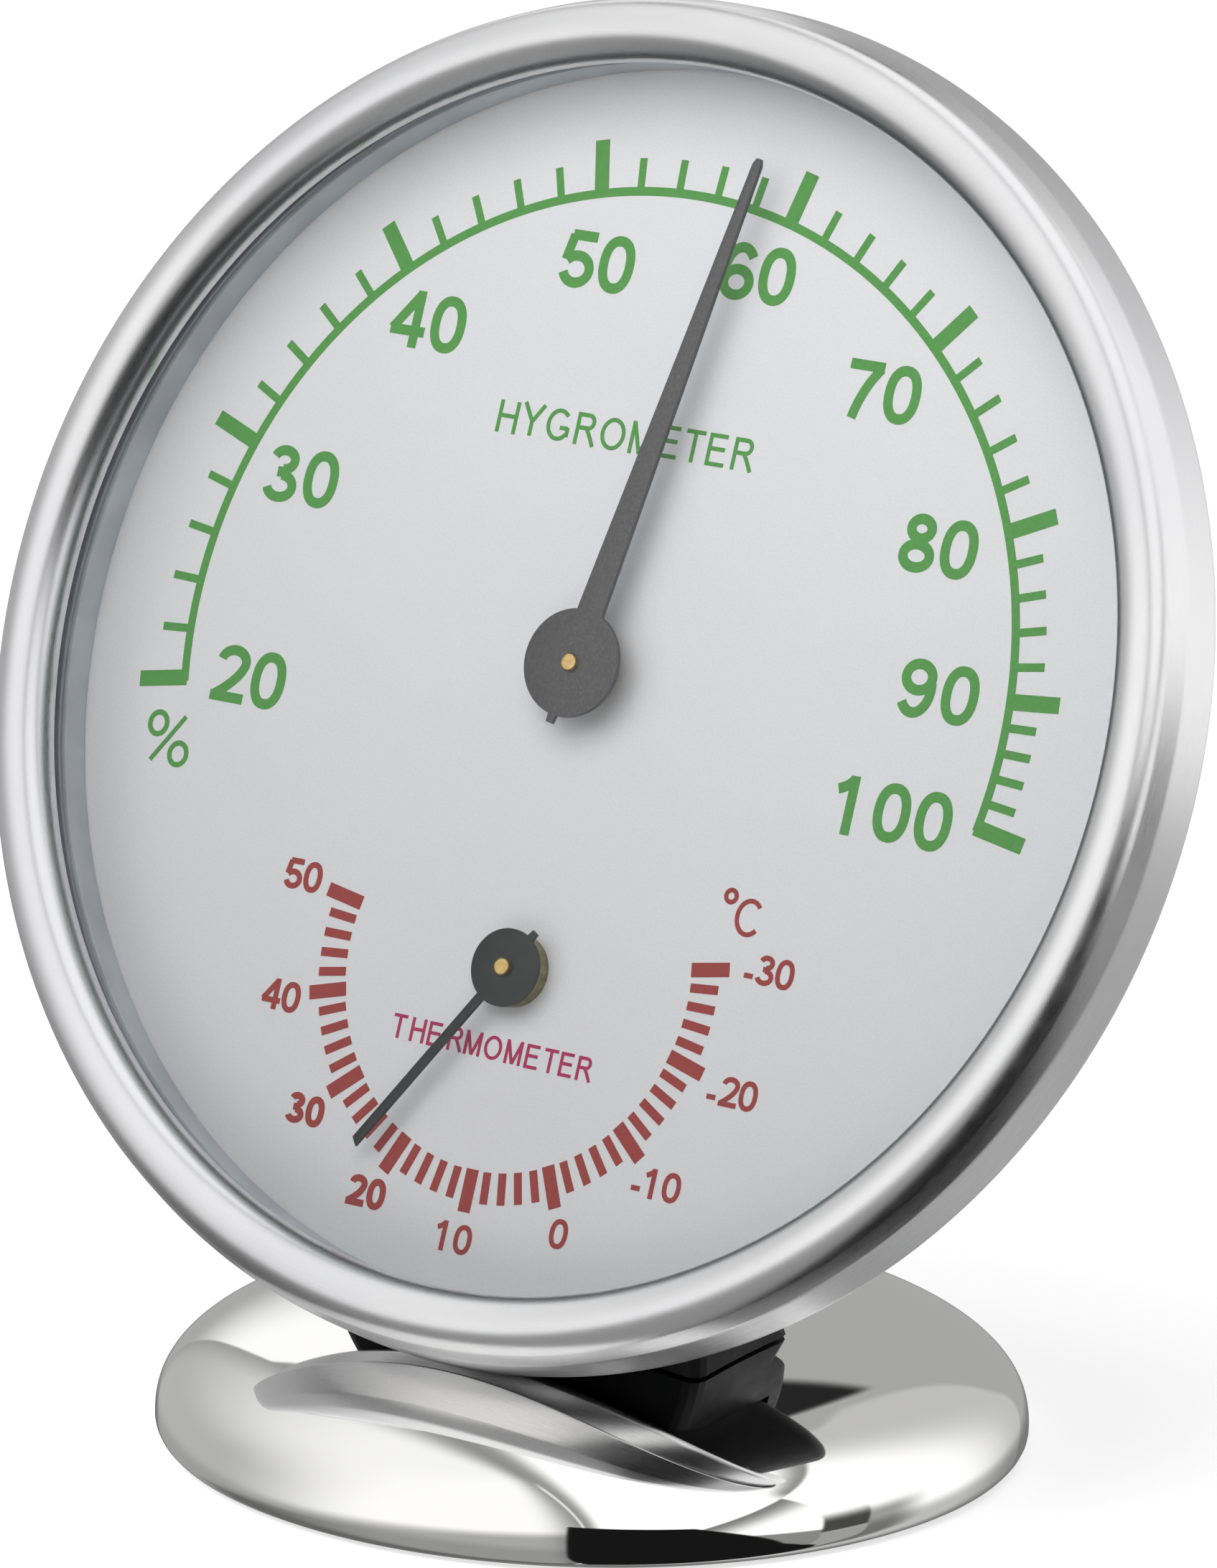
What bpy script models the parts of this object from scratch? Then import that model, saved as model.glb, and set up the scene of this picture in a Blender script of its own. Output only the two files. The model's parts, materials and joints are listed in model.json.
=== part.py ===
"""Dial thermo-hygrometer: a tilted round case on a short neck and a chromed domed foot.

World frame: origin at the middle of the foot on the table, +Z up, the dial faces -Y, +X is to the
dial's right. The head has a frame of its own: its origin is the case axis on the dial face, its Z
points out of the dial towards the reader, and its Y points up the dial.
Lengths are written in millimetres and turned into metres where the meshes are made.
"""

import math

import bmesh
import bpy
from mathutils import Matrix, Vector

MM = 0.001
GAP = 0.3  # between pieces that touch on the real object
ROUND = 64  # sides of a large turned piece
SMALL_ROUND = 20  # sides of a small turned piece

# Head: place and lean
HEAD_HEIGHT = 73.0
HEAD_LEAN = 20.77  # degrees, dial leaning back
HEAD_TURN = math.radians(90.0 - HEAD_LEAN)

# Bezel: one pressed sheet
BEAD_RADIUS = 2.97
BEAD_CENTRE_RADIUS = 60.93
BEAD_CENTRE_HEIGHT = 6.7
BEZEL_SHEET = 0.6
LIP_BOTTOM = 6.2
SKIRT_RADIUS = 64.9
SKIRT_BOTTOM = 1.5

# Window, gasket and spacer
GLASS_RADIUS = 62.3
GLASS_THICKNESS = 1.7
GASKET_INNER_RADIUS = 59.2
GASKET_THICKNESS = 0.4
SPACER_INNER_RADIUS = 58.6
RING_SIDES = 48  # gasket and spacer
SPACER_HEIGHT = 3.0

# Dial and its two movements
DIAL_RADIUS = 60.3
DIAL_THICKNESS = 0.8
HYGRO_AXIS = (-2.3, 1.3)
THERMO_AXIS = (-2.8, -27.7)
HYGRO_READING_ANGLE = 80.6  # degrees from the dial's right, 58 % relative humidity
THERMO_READING_ANGLE = -123.0  # 23 degrees Celsius

# Rear housing and back cover
HOUSING_RADIUS = 61.9
HOUSING_WALL = 1.2
HOUSING_FLOOR = 1.8
COVER_RADIUS = 49.5
COVER_DEPTH = 20.0
COVER_WALL = 1.6
COVER_EDGE = 3.0
COVER_SCREW_CIRCLE = 42.0
BOSS_RADIUS = 3.4
VENT_LENGTH = 16.0
VENT_WIDTH = 2.2
VENT_PITCH = 5.0

# Foot
FOOT_RADIUS = 41.5
FOOT_RIM_RADIUS = 40.3
FOOT_RIM_BOTTOM = 0.3
FOOT_RIM_ROUND = (0.35, 0.5)  # how far the rim turns in and up below its widest radius
FOOT_WIDEST_HEIGHT = 1.6
FOOT_HEIGHT = 14.0
FOOT_SQUARENESS = 0.8  # exponent of the dome's curve, 1 is an ellipse
FOOT_SHEET = 1.2
PLATE_RADIUS = 38.6
PLATE_BOTTOM = 1.8
PLATE_THICKNESS = 1.2
BALLAST_RADIUS = 30.0
BALLAST_THICKNESS = 5.5
PAD_RADIUS = 4.5
PAD_CIRCLE = 30.0

# Neck
NECK_WIDTH = 42.0
NECK_BEVEL = 2.2
TONGUE_THICKNESS = 3.2
TONGUE_TOP = -27.0  # along the head's Y
BOLT_SHANK_RADIUS = 2.0
BOLT_TOP = 20.5
BOLT_Y = -2.0
NECK_SCREW_HEIGHTS = (-31.0, -40.0)  # along the head's Y

FLOOR_FRONT = -DIAL_THICKNESS - GAP
FLOOR_BACK = FLOOR_FRONT - HOUSING_FLOOR
COVER_FRONT = FLOOR_BACK - GAP
COVER_BACK = -COVER_DEPTH
COVER_INSIDE = COVER_BACK + COVER_WALL
GLASS_BOTTOM = LIP_BOTTOM - GAP - GLASS_THICKNESS
GASKET_BOTTOM = GLASS_BOTTOM - GASKET_THICKNESS - 0.1
HOUSING_TOP = GASKET_BOTTOM - GAP


def clear_scene():
    for obj in list(bpy.data.objects):
        bpy.data.objects.remove(obj)


def material(name, colour, roughness, metallic):
    made = bpy.data.materials.new(name)
    made.use_nodes = True
    shader = made.node_tree.nodes["Principled BSDF"]
    shader.inputs["Base Color"].default_value = (*colour, 1.0)
    shader.inputs["Roughness"].default_value = roughness
    shader.inputs["Metallic"].default_value = metallic
    return made


def make_object(name, shape, finish, parent=None, location=(0.0, 0.0, 0.0), turn=0.0):
    """Turns a bmesh in millimetres into a placed object in metres."""
    bmesh.ops.recalc_face_normals(shape, faces=shape.faces)
    bmesh.ops.scale(shape, vec=Vector((MM, MM, MM)), verts=shape.verts)
    mesh = bpy.data.meshes.new(name)
    shape.to_mesh(mesh)
    shape.free()
    mesh.shade_smooth()
    mesh.set_sharp_from_angle(angle=math.radians(35.0))
    if finish is not None:
        mesh.materials.append(finish)
    obj = bpy.data.objects.new(name, mesh)
    bpy.context.collection.objects.link(obj)
    obj.parent = parent
    obj.location = Vector(location) * MM
    obj.rotation_euler = (0.0, 0.0, math.radians(turn))
    return obj


def turned(profile, sides):
    """A solid of revolution about Z from (radius, height) points; a ring's profile closes on itself."""
    shape = bmesh.new()
    loops = []
    for radius, height in profile:
        if radius == 0.0:
            loops.append([shape.verts.new((0.0, 0.0, height))])
            continue
        loop = []
        for side in range(sides):
            angle = 2.0 * math.pi * side / sides
            loop.append(shape.verts.new((radius * math.cos(angle), radius * math.sin(angle), height)))
        loops.append(loop)
    pairs = list(zip(loops, loops[1:]))
    if len(loops[0]) > 1 and len(loops[-1]) > 1:
        pairs.append((loops[-1], loops[0]))
    for lower, upper in pairs:
        for side in range(sides):
            after = (side + 1) % sides
            if len(lower) == 1:
                shape.faces.new((lower[0], upper[side], upper[after]))
            elif len(upper) == 1:
                shape.faces.new((lower[side], lower[after], upper[0]))
            else:
                shape.faces.new((lower[side], lower[after], upper[after], upper[side]))
    return shape


def disc(radius, bottom, top, sides=ROUND):
    return turned([(0.0, bottom), (radius, bottom), (radius, top), (0.0, top)], sides)


def rod(radius, bottom, top):
    return disc(radius, bottom, top, SMALL_ROUND)


def ring(inner, outer, bottom, top, sides=ROUND):
    return turned([(inner, bottom), (outer, bottom), (outer, top), (inner, top)], sides)


def prism(outline, bottom, top):
    """An outline in the XY plane, extruded along Z."""
    shape = bmesh.new()
    face = shape.faces.new([shape.verts.new((x, y, bottom)) for x, y in outline])
    extruded = bmesh.ops.extrude_face_region(shape, geom=[face])
    moved = [part for part in extruded["geom"] if isinstance(part, bmesh.types.BMVert)]
    bmesh.ops.translate(shape, vec=(0.0, 0.0, top - bottom), verts=moved)
    return shape


def block(low, high):
    outline = [(low[0], low[1]), (high[0], low[1]), (high[0], high[1]), (low[0], high[1])]
    return prism(outline, low[2], high[2])


def merge_shapes(shapes):
    """Puts several separate shapes in one bmesh."""
    merged = bmesh.new()
    for shape in shapes:
        copy = bpy.data.meshes.new("copy")
        shape.to_mesh(copy)
        shape.free()
        merged.from_mesh(copy)
        bpy.data.meshes.remove(copy)
    return merged


def moved(shape, x=0.0, y=0.0, z=0.0, turn=0.0):
    """Turns a shape about Z, in degrees, and then moves it."""
    place = Matrix.Translation((x, y, z)) @ Matrix.Rotation(math.radians(turn), 4, "Z")
    shape.transform(place)
    return shape


def boolean(target, tool, operation):
    tool.hide_render = True
    tool.display_type = "WIRE"
    step = target.modifiers.new(tool.name, "BOOLEAN")
    step.operation = operation
    step.solver = "EXACT"
    step.object = tool


def bevel(obj, width, segments=2, angle=35.0):
    step = obj.modifiers.new("edges", "BEVEL")
    step.width = width * MM
    step.segments = segments
    step.limit_method = "ANGLE"
    step.angle_limit = math.radians(angle)


def arc(centre, radius, start, end, steps):
    """Points on an arc, in degrees, both ends included."""
    points = []
    for step in range(steps + 1):
        angle = math.radians(start + (end - start) * step / steps)
        points.append((centre[0] + radius * math.cos(angle), centre[1] + radius * math.sin(angle)))
    return points


def screw_shape(head_radius, head_height, shank_radius, shank_length, slot_width=0.8):
    """A slotted screw: the head's outer face is at -Z, the shank runs up from 0 along +Z."""
    edge = head_height * 0.4
    outline = [(0.0, -head_height), (head_radius - edge, -head_height), (head_radius, -head_height + edge)]
    outline += [(head_radius, 0.0), (shank_radius, 0.0), (shank_radius, shank_length - shank_radius)]
    outline += [(shank_radius * 0.4, shank_length), (0.0, shank_length)]
    shape = turned(outline, SMALL_ROUND)
    reach = head_radius + 1.0
    slot_low = (-reach, -slot_width / 2.0, -head_height - 1.0)
    slot_high = (reach, slot_width / 2.0, -head_height * 0.45)
    return shape, block(slot_low, slot_high)


def screw(name, finish, parent, location, sizes, slot_turn=0.0):
    shape, slot = screw_shape(*sizes)
    obj = make_object(name, shape, finish, parent, location, slot_turn)
    boolean(obj, make_object(name + "_slot", slot, None, parent, location, slot_turn), "DIFFERENCE")
    return obj


def spiral_strip(inner_radius, outer_radius, turns, thickness, bottom, top):
    """A flat strip wound in a spiral about Z."""
    per_turn = 18
    steps = int(turns * per_turn)
    shape = bmesh.new()
    stations = []
    for step in range(steps + 1):
        angle = 2.0 * math.pi * step / per_turn
        middle = inner_radius + (outer_radius - inner_radius) * step / steps
        station = []
        for radius, height in (
            (middle - thickness / 2.0, bottom),
            (middle + thickness / 2.0, bottom),
            (middle + thickness / 2.0, top),
            (middle - thickness / 2.0, top),
        ):
            station.append(shape.verts.new((radius * math.cos(angle), radius * math.sin(angle), height)))
        stations.append(station)
    for here, there in zip(stations, stations[1:]):
        for corner in range(4):
            after = (corner + 1) % 4
            shape.faces.new((here[corner], here[after], there[after], there[corner]))
    shape.faces.new(stations[0])
    shape.faces.new(stations[-1])
    return shape


def pointer_outline(hub_radius, root_half, tip, tail_half, tail_reach):
    """A pointer along +X: round hub, arm that ends in the tip's points, and a small square nib as tail."""
    root_angle = math.degrees(math.asin(root_half / hub_radius))
    tail_angle = math.degrees(math.asin(tail_half / hub_radius))
    outline = list(tip)
    outline += arc((0.0, 0.0), hub_radius, root_angle, 180.0 - tail_angle, 14)
    outline += [(-tail_reach, tail_half), (-tail_reach, -tail_half)]
    outline += arc((0.0, 0.0), hub_radius, 180.0 + tail_angle, 360.0 - root_angle, 14)
    return outline


def pointer(name, finish, parent, outline, bottom, thickness, bore_radius):
    obj = make_object(name, prism(outline, bottom, bottom + thickness), finish, parent)
    bore = rod(bore_radius, bottom - 1.0, bottom + thickness + 1.0)
    boolean(obj, make_object(name + "_bore", bore, None, parent), "DIFFERENCE")
    return obj


def foot_curve(offset, steps):
    """The dome's outer face from its widest radius to near its top, moved out by an offset."""
    points = []
    for step in range(steps):
        angle = 0.5 * math.pi * step / steps
        radius = (FOOT_RADIUS + offset) * math.cos(angle) ** FOOT_SQUARENESS
        rise = FOOT_HEIGHT + offset - FOOT_WIDEST_HEIGHT
        points.append((radius, FOOT_WIDEST_HEIGHT + rise * math.sin(angle) ** FOOT_SQUARENESS))
    return points


clear_scene()

brushed_steel = material("brushed_steel", (0.72, 0.72, 0.73), 0.28, 1.0)
chrome = material("chrome", (0.90, 0.90, 0.91), 0.04, 1.0)
clear_glass = material("clear_glass", (0.95, 0.97, 0.97), 0.03, 0.0)
black_rubber = material("black_rubber", (0.03, 0.03, 0.03), 0.8, 0.0)
grey_rubber = material("grey_rubber", (0.25, 0.26, 0.28), 0.6, 0.0)
spacer_grey = material("spacer_grey", (0.62, 0.62, 0.64), 0.5, 0.0)
dial_grey = material("dial_grey", (0.60, 0.60, 0.61), 0.45, 0.3)
black_plastic = material("black_plastic", (0.02, 0.02, 0.022), 0.45, 0.0)
brass = material("brass", (0.62, 0.47, 0.20), 0.3, 1.0)
olive_brass = material("olive_brass", (0.36, 0.30, 0.15), 0.4, 1.0)
pointer_grey = material("pointer_grey", (0.09, 0.09, 0.10), 0.35, 0.4)
pointer_black = material("pointer_black", (0.012, 0.012, 0.012), 0.45, 0.0)
coil_film = material("coil_film", (0.66, 0.58, 0.42), 0.45, 0.0)
bimetal = material("bimetal", (0.55, 0.47, 0.36), 0.35, 1.0)
zinc_steel = material("zinc_steel", (0.60, 0.60, 0.61), 0.35, 1.0)
cast_iron = material("cast_iron", (0.14, 0.14, 0.15), 0.7, 1.0)

head = bpy.data.objects.new("head_frame", None)
bpy.context.collection.objects.link(head)
head.location = Vector((0.0, 0.0, HEAD_HEIGHT)) * MM
head.rotation_euler = (HEAD_TURN, 0.0, 0.0)


def axis_frame(name, position, turn=0.0):
    """An empty on a movement's axis, under the head."""
    frame = bpy.data.objects.new(name, None)
    bpy.context.collection.objects.link(frame)
    frame.parent = head
    frame.location = Vector((position[0], position[1], 0.0)) * MM
    frame.rotation_euler = (0.0, 0.0, math.radians(turn))
    return frame


hygro_fixed = axis_frame("hygrometer_axis", HYGRO_AXIS)
hygro_moving = axis_frame("hygrometer_pointer_axis", HYGRO_AXIS, HYGRO_READING_ANGLE)
thermo_fixed = axis_frame("thermometer_axis", THERMO_AXIS)
thermo_moving = axis_frame("thermometer_pointer_axis", THERMO_AXIS, THERMO_READING_ANGLE)


# ---------------------------------------------------------------- case


def bezel_profile():
    centre = (BEAD_CENTRE_RADIUS, BEAD_CENTRE_HEIGHT)
    inside = BEAD_RADIUS - BEZEL_SHEET
    profile = [(BEAD_CENTRE_RADIUS - BEAD_RADIUS, LIP_BOTTOM)]
    profile += arc(centre, BEAD_RADIUS, 180.0, 0.0, 9)
    profile += [(SKIRT_RADIUS, SKIRT_BOTTOM), (SKIRT_RADIUS - BEZEL_SHEET, SKIRT_BOTTOM)]
    profile += arc(centre, inside, 0.0, 180.0, 5)
    profile.append((BEAD_CENTRE_RADIUS - inside, LIP_BOTTOM))
    return profile


make_object("bezel_ring", turned(bezel_profile(), ROUND), brushed_steel, head)
lens = disc(GLASS_RADIUS, GLASS_BOTTOM, GLASS_BOTTOM + GLASS_THICKNESS)
make_object("glass_lens", lens, clear_glass, head)
gasket_top = GASKET_BOTTOM + GASKET_THICKNESS
gasket = ring(GASKET_INNER_RADIUS, HOUSING_RADIUS, GASKET_BOTTOM, gasket_top, RING_SIDES)
make_object("lens_gasket", gasket, grey_rubber, head)
spacer = ring(SPACER_INNER_RADIUS, DIAL_RADIUS, GAP, SPACER_HEIGHT, RING_SIDES)
make_object("dial_spacer", spacer, spacer_grey, head)

# ---------------------------------------------------------------- dial

HYGRO_BUSH_RADIUS = 2.4
THERMO_BUSH_RADIUS = 2.4
BUSH_HOLE_PLAY = 0.35
THROUGH = (-10.0, 10.0)  # a cutter that passes the dial and the housing floor

dial_plate = make_object("dial_plate", disc(DIAL_RADIUS, -DIAL_THICKNESS, 0.0), dial_grey, head)
bush_holes = merge_shapes(
    [
        moved(rod(HYGRO_BUSH_RADIUS + BUSH_HOLE_PLAY, *THROUGH), *HYGRO_AXIS),
        moved(rod(THERMO_BUSH_RADIUS + BUSH_HOLE_PLAY, *THROUGH), *THERMO_AXIS),
    ]
)
bush_hole_cutter = make_object("bush_holes", bush_holes, None, head)
boolean(dial_plate, bush_hole_cutter, "DIFFERENCE")

# ---------------------------------------------------------------- rear housing and back cover

COVER_SCREW_ANGLES = (90.0, 210.0, 330.0)
BOSS_BOTTOM = COVER_INSIDE + GAP
BOSS_ROOT = FLOOR_BACK + 0.9  # inside the housing floor
BOSS_PILOT_RADIUS = 1.6
BOSS_PILOT_DEPTH = 9.0
BOSS_TURN = 4.0  # keeps the edges of bosses, pilots and floor apart
PILOT_TURN = 2.0
COVER_SCREW = (2.9, 1.5, 1.25, 9.0)  # head radius, head height, shank radius, shank length
COVER_SCREW_TURN = 25.0

housing_profile = [
    (0.0, FLOOR_BACK),
    (HOUSING_RADIUS, FLOOR_BACK),
    (HOUSING_RADIUS, HOUSING_TOP),
    (HOUSING_RADIUS - HOUSING_WALL, HOUSING_TOP),
    (HOUSING_RADIUS - HOUSING_WALL, FLOOR_FRONT),
    (0.0, FLOOR_FRONT),
]
rear_housing = make_object("rear_housing", turned(housing_profile, ROUND), brushed_steel, head)

boss_places = arc((0.0, 0.0), COVER_SCREW_CIRCLE, COVER_SCREW_ANGLES[0], COVER_SCREW_ANGLES[2], 2)
boss_shapes = []
pilot_shapes = []
for boss_x, boss_y in boss_places:
    boss = rod(BOSS_RADIUS, BOSS_BOTTOM, BOSS_ROOT)
    boss_shapes.append(moved(boss, boss_x, boss_y, turn=BOSS_TURN))
    pilot = rod(BOSS_PILOT_RADIUS, BOSS_BOTTOM - 1.0, BOSS_BOTTOM + BOSS_PILOT_DEPTH)
    pilot_shapes.append(moved(pilot, boss_x, boss_y, turn=PILOT_TURN))
boolean(rear_housing, make_object("housing_bosses", merge_shapes(boss_shapes), None, head), "UNION")
boolean(rear_housing, make_object("housing_pilots", merge_shapes(pilot_shapes), None, head), "DIFFERENCE")
boolean(rear_housing, bush_hole_cutter, "DIFFERENCE")

cover_profile = [(0.0, COVER_BACK)]
cover_profile += arc((COVER_RADIUS - COVER_EDGE, COVER_BACK + COVER_EDGE), COVER_EDGE, -90.0, 0.0, 4)
cover_profile += [
    (COVER_RADIUS, COVER_FRONT),
    (COVER_RADIUS - COVER_WALL, COVER_FRONT),
    (COVER_RADIUS - COVER_WALL, COVER_INSIDE + COVER_EDGE - COVER_WALL),
    (COVER_RADIUS - COVER_EDGE, COVER_INSIDE),
    (0.0, COVER_INSIDE),
]
back_cover = make_object("back_cover", turned(cover_profile, ROUND), black_plastic, head)

COVER_HOLE_DEPTHS = (COVER_BACK - 1.0, COVER_INSIDE + 1.0)
CALIBRATION_HOLE_RADIUS = 4.4
NECK_SCREW_SHANK = 1.4
VENT_ROWS = 7
VENT_COLUMN = 22.0  # from the middle of the cover to the middle of a slot
VENT_MIDDLE = 4.0  # height of the middle slot along the head's Y
cover_cutters = [moved(rod(CALIBRATION_HOLE_RADIUS, *COVER_HOLE_DEPTHS), *HYGRO_AXIS)]
for boss_x, boss_y in boss_places:
    cover_cutters.append(moved(rod(BOSS_PILOT_RADIUS, *COVER_HOLE_DEPTHS), boss_x, boss_y))
for height in NECK_SCREW_HEIGHTS:
    cover_cutters.append(moved(rod(NECK_SCREW_SHANK + GAP, *COVER_HOLE_DEPTHS), 0.0, height))
vent_half = VENT_LENGTH / 2.0
for side in (-1.0, 1.0):
    for row in range(VENT_ROWS):
        vent_x = side * VENT_COLUMN
        vent_y = (row - VENT_ROWS // 2) * VENT_PITCH + VENT_MIDDLE
        low = (vent_x - vent_half, vent_y - VENT_WIDTH / 2.0, COVER_HOLE_DEPTHS[0])
        high = (vent_x + vent_half, vent_y + VENT_WIDTH / 2.0, COVER_HOLE_DEPTHS[1])
        cover_cutters.append(block(low, high))
boolean(back_cover, make_object("cover_openings", merge_shapes(cover_cutters), None, head), "DIFFERENCE")

for number, (boss_x, boss_y) in enumerate(boss_places, start=1):
    place = (boss_x, boss_y, COVER_BACK - GAP)
    screw(f"cover_screw_{number}", zinc_steel, head, place, COVER_SCREW, COVER_SCREW_TURN * number)

# ---------------------------------------------------------------- hygrometer movement

HYGRO_SPINDLE_RADIUS = 0.875
HYGRO_SPINDLE_TOP = 3.9
HYGRO_COLLAR = (3.0, 2.5)  # radius and height of the bush's collar on the dial
HYGRO_FLANGE_RADIUS = 4.6
SPINDLE_EDGE = 0.25
HUB_PLAY = 0.2  # between a pointer's hub and its spindle
HYGRO_POINTER_BOTTOM = 2.9
HYGRO_POINTER_THICKNESS = 0.5
HYGRO_COIL_BOTTOM = -10.5
HYGRO_COIL_TOP = -6.5
HYGRO_COIL = (1.6, 9.6, 3.5, 0.35)  # inner radius, outer radius, turns, thickness
BUSH_PLAY = 0.08
BUSH_FLANGE_TOP = FLOOR_BACK - GAP
BUSH_FLANGE = 1.2
ARM_BOTTOM = -12.4
ARM_THICKNESS = 0.9
ARM_EYE_RADIUS = 4.0
ARM_REACH = 11.6
ARM_HALF_WIDTH = 1.8
LUG_THICKNESS = 1.1
BRIDGE_BOTTOM = -14.1
BRIDGE_THICKNESS = 1.2
BRIDGE_HALF_LENGTH = 16.0
BRIDGE_HALF_WIDTH = 5.0
BRIDGE_FOOT = 6.0
BRIDGE_LEG_TOP = FLOOR_BACK - GAP
BRIDGE_SCREW_Y = BRIDGE_HALF_LENGTH + 3.5
BRIDGE_SCREW = (2.3, 1.2, 1.0, BRIDGE_LEG_TOP - BRIDGE_BOTTOM + GAP)
CALIBRATION_SHANK_RADIUS = 2.2
CALIBRATION_FACE = COVER_BACK + 2.0  # the screw's head lies sunk in the cover
CALIBRATION_SCREW = (3.8, 2.6, CALIBRATION_SHANK_RADIUS, ARM_BOTTOM - GAP - CALIBRATION_FACE, 1.0)


def bush_profile(spindle_radius, outside, flange_outside, collar):
    """A bush with a flange behind the housing floor and a collar, of some radius and height, on the dial."""
    bore = spindle_radius + BUSH_PLAY
    back = BUSH_FLANGE_TOP - BUSH_FLANGE
    collar_outside, front = collar
    return [
        (bore, back),
        (flange_outside, back),
        (flange_outside, BUSH_FLANGE_TOP),
        (outside, BUSH_FLANGE_TOP),
        (outside, GAP),
        (collar_outside, GAP),
        (collar_outside, front),
        (bore, front),
    ]


def spindle_profile(radius, bottom, top):
    outline = [(0.0, bottom), (radius, bottom), (radius, top - SPINDLE_EDGE)]
    return outline + [(radius - SPINDLE_EDGE, top), (0.0, top)]


hygro_bush = bush_profile(HYGRO_SPINDLE_RADIUS, HYGRO_BUSH_RADIUS, HYGRO_FLANGE_RADIUS, HYGRO_COLLAR)
make_object("hygrometer_bush", turned(hygro_bush, SMALL_ROUND), brass, hygro_fixed)

hygro_spindle = spindle_profile(HYGRO_SPINDLE_RADIUS, ARM_BOTTOM + ARM_THICKNESS + GAP, HYGRO_SPINDLE_TOP)
make_object("hygrometer_spindle", turned(hygro_spindle, SMALL_ROUND), brass, hygro_moving)
hygro_tip = [(49.4, -0.5), (50.0, -0.22), (50.0, 0.22), (49.4, 0.5)]
hygro_outline = pointer_outline(5.15, 1.45, hygro_tip, 0.45, 5.95)
pointer(
    "hygrometer_pointer",
    pointer_grey,
    hygro_moving,
    hygro_outline,
    HYGRO_POINTER_BOTTOM,
    HYGRO_POINTER_THICKNESS,
    HYGRO_SPINDLE_RADIUS + HUB_PLAY,
)
hygro_coil = spiral_strip(*HYGRO_COIL, HYGRO_COIL_BOTTOM, HYGRO_COIL_TOP)
make_object("hygroscopic_coil", hygro_coil, coil_film, hygro_fixed)

arm_outline = arc((0.0, 0.0), ARM_EYE_RADIUS, 207.0, 513.0, 18)
arm_outline += [(-ARM_REACH, ARM_HALF_WIDTH), (-ARM_REACH, -ARM_HALF_WIDTH)]
arm_shape = prism(arm_outline, ARM_BOTTOM, ARM_BOTTOM + ARM_THICKNESS)
calibration_arm = make_object("calibration_arm", arm_shape, brass, hygro_fixed)
lug_low = (-ARM_REACH, -ARM_HALF_WIDTH, ARM_BOTTOM + 0.2)
lug_high = (LUG_THICKNESS - ARM_REACH, ARM_HALF_WIDTH, HYGRO_COIL_TOP + 0.5)
boolean(calibration_arm, make_object("arm_lug", block(lug_low, lug_high), None, hygro_fixed), "UNION")

calibration_place = (*HYGRO_AXIS, CALIBRATION_FACE)
screw("calibration_screw", brass, head, calibration_place, CALIBRATION_SCREW, 40.0)

bridge_end = BRIDGE_HALF_LENGTH + BRIDGE_FOOT
bridge_low = (-BRIDGE_HALF_WIDTH, -bridge_end, BRIDGE_BOTTOM)
bridge_high = (BRIDGE_HALF_WIDTH, bridge_end, BRIDGE_BOTTOM + BRIDGE_THICKNESS)
bridge = make_object("coil_bridge", block(bridge_low, bridge_high), zinc_steel, hygro_fixed)
leg_half_width = BRIDGE_HALF_WIDTH - 0.5
bridge_legs = []
for side in (-1.0, 1.0):
    low = (-leg_half_width, side * BRIDGE_HALF_LENGTH - 1.0, BRIDGE_BOTTOM + 0.3)
    high = (leg_half_width, side * BRIDGE_HALF_LENGTH + 1.0, BRIDGE_LEG_TOP)
    bridge_legs.append(block(low, high))
boolean(bridge, make_object("bridge_legs", merge_shapes(bridge_legs), None, hygro_fixed), "UNION")
bridge_span = (BRIDGE_BOTTOM - 2.0, BRIDGE_BOTTOM + 3.0)
bridge_holes = [rod(CALIBRATION_SHANK_RADIUS + BUSH_PLAY, *bridge_span)]
for side in (-1.0, 1.0):
    bridge_holes.append(moved(rod(BRIDGE_SCREW[2] + GAP, *bridge_span), 0.0, side * BRIDGE_SCREW_Y))
boolean(bridge, make_object("bridge_holes", merge_shapes(bridge_holes), None, hygro_fixed), "DIFFERENCE")
for number, side in enumerate((-1.0, 1.0), start=1):
    place = (0.0, side * BRIDGE_SCREW_Y, BRIDGE_BOTTOM - GAP)
    screw(f"bridge_screw_{number}", zinc_steel, hygro_fixed, place, BRIDGE_SCREW, 30.0 * side)

# ---------------------------------------------------------------- thermometer movement

THERMO_SPINDLE_RADIUS = 0.85
THERMO_POINTER_BOTTOM = 1.9
THERMO_POINTER_THICKNESS = 0.4
THERMO_COIL_BOTTOM = -9.0
THERMO_COIL_TOP = -6.2
THERMO_COIL = (1.5, 7.6, 3.0, 0.4)  # inner radius, outer radius, turns, thickness
THERMO_COLLAR = (3.45, 1.6)
THERMO_FLANGE_RADIUS = 5.0
THERMO_SPINDLE_TOP = 3.0
POST_RADIUS = 1.1
POST_X = 9.3

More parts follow.
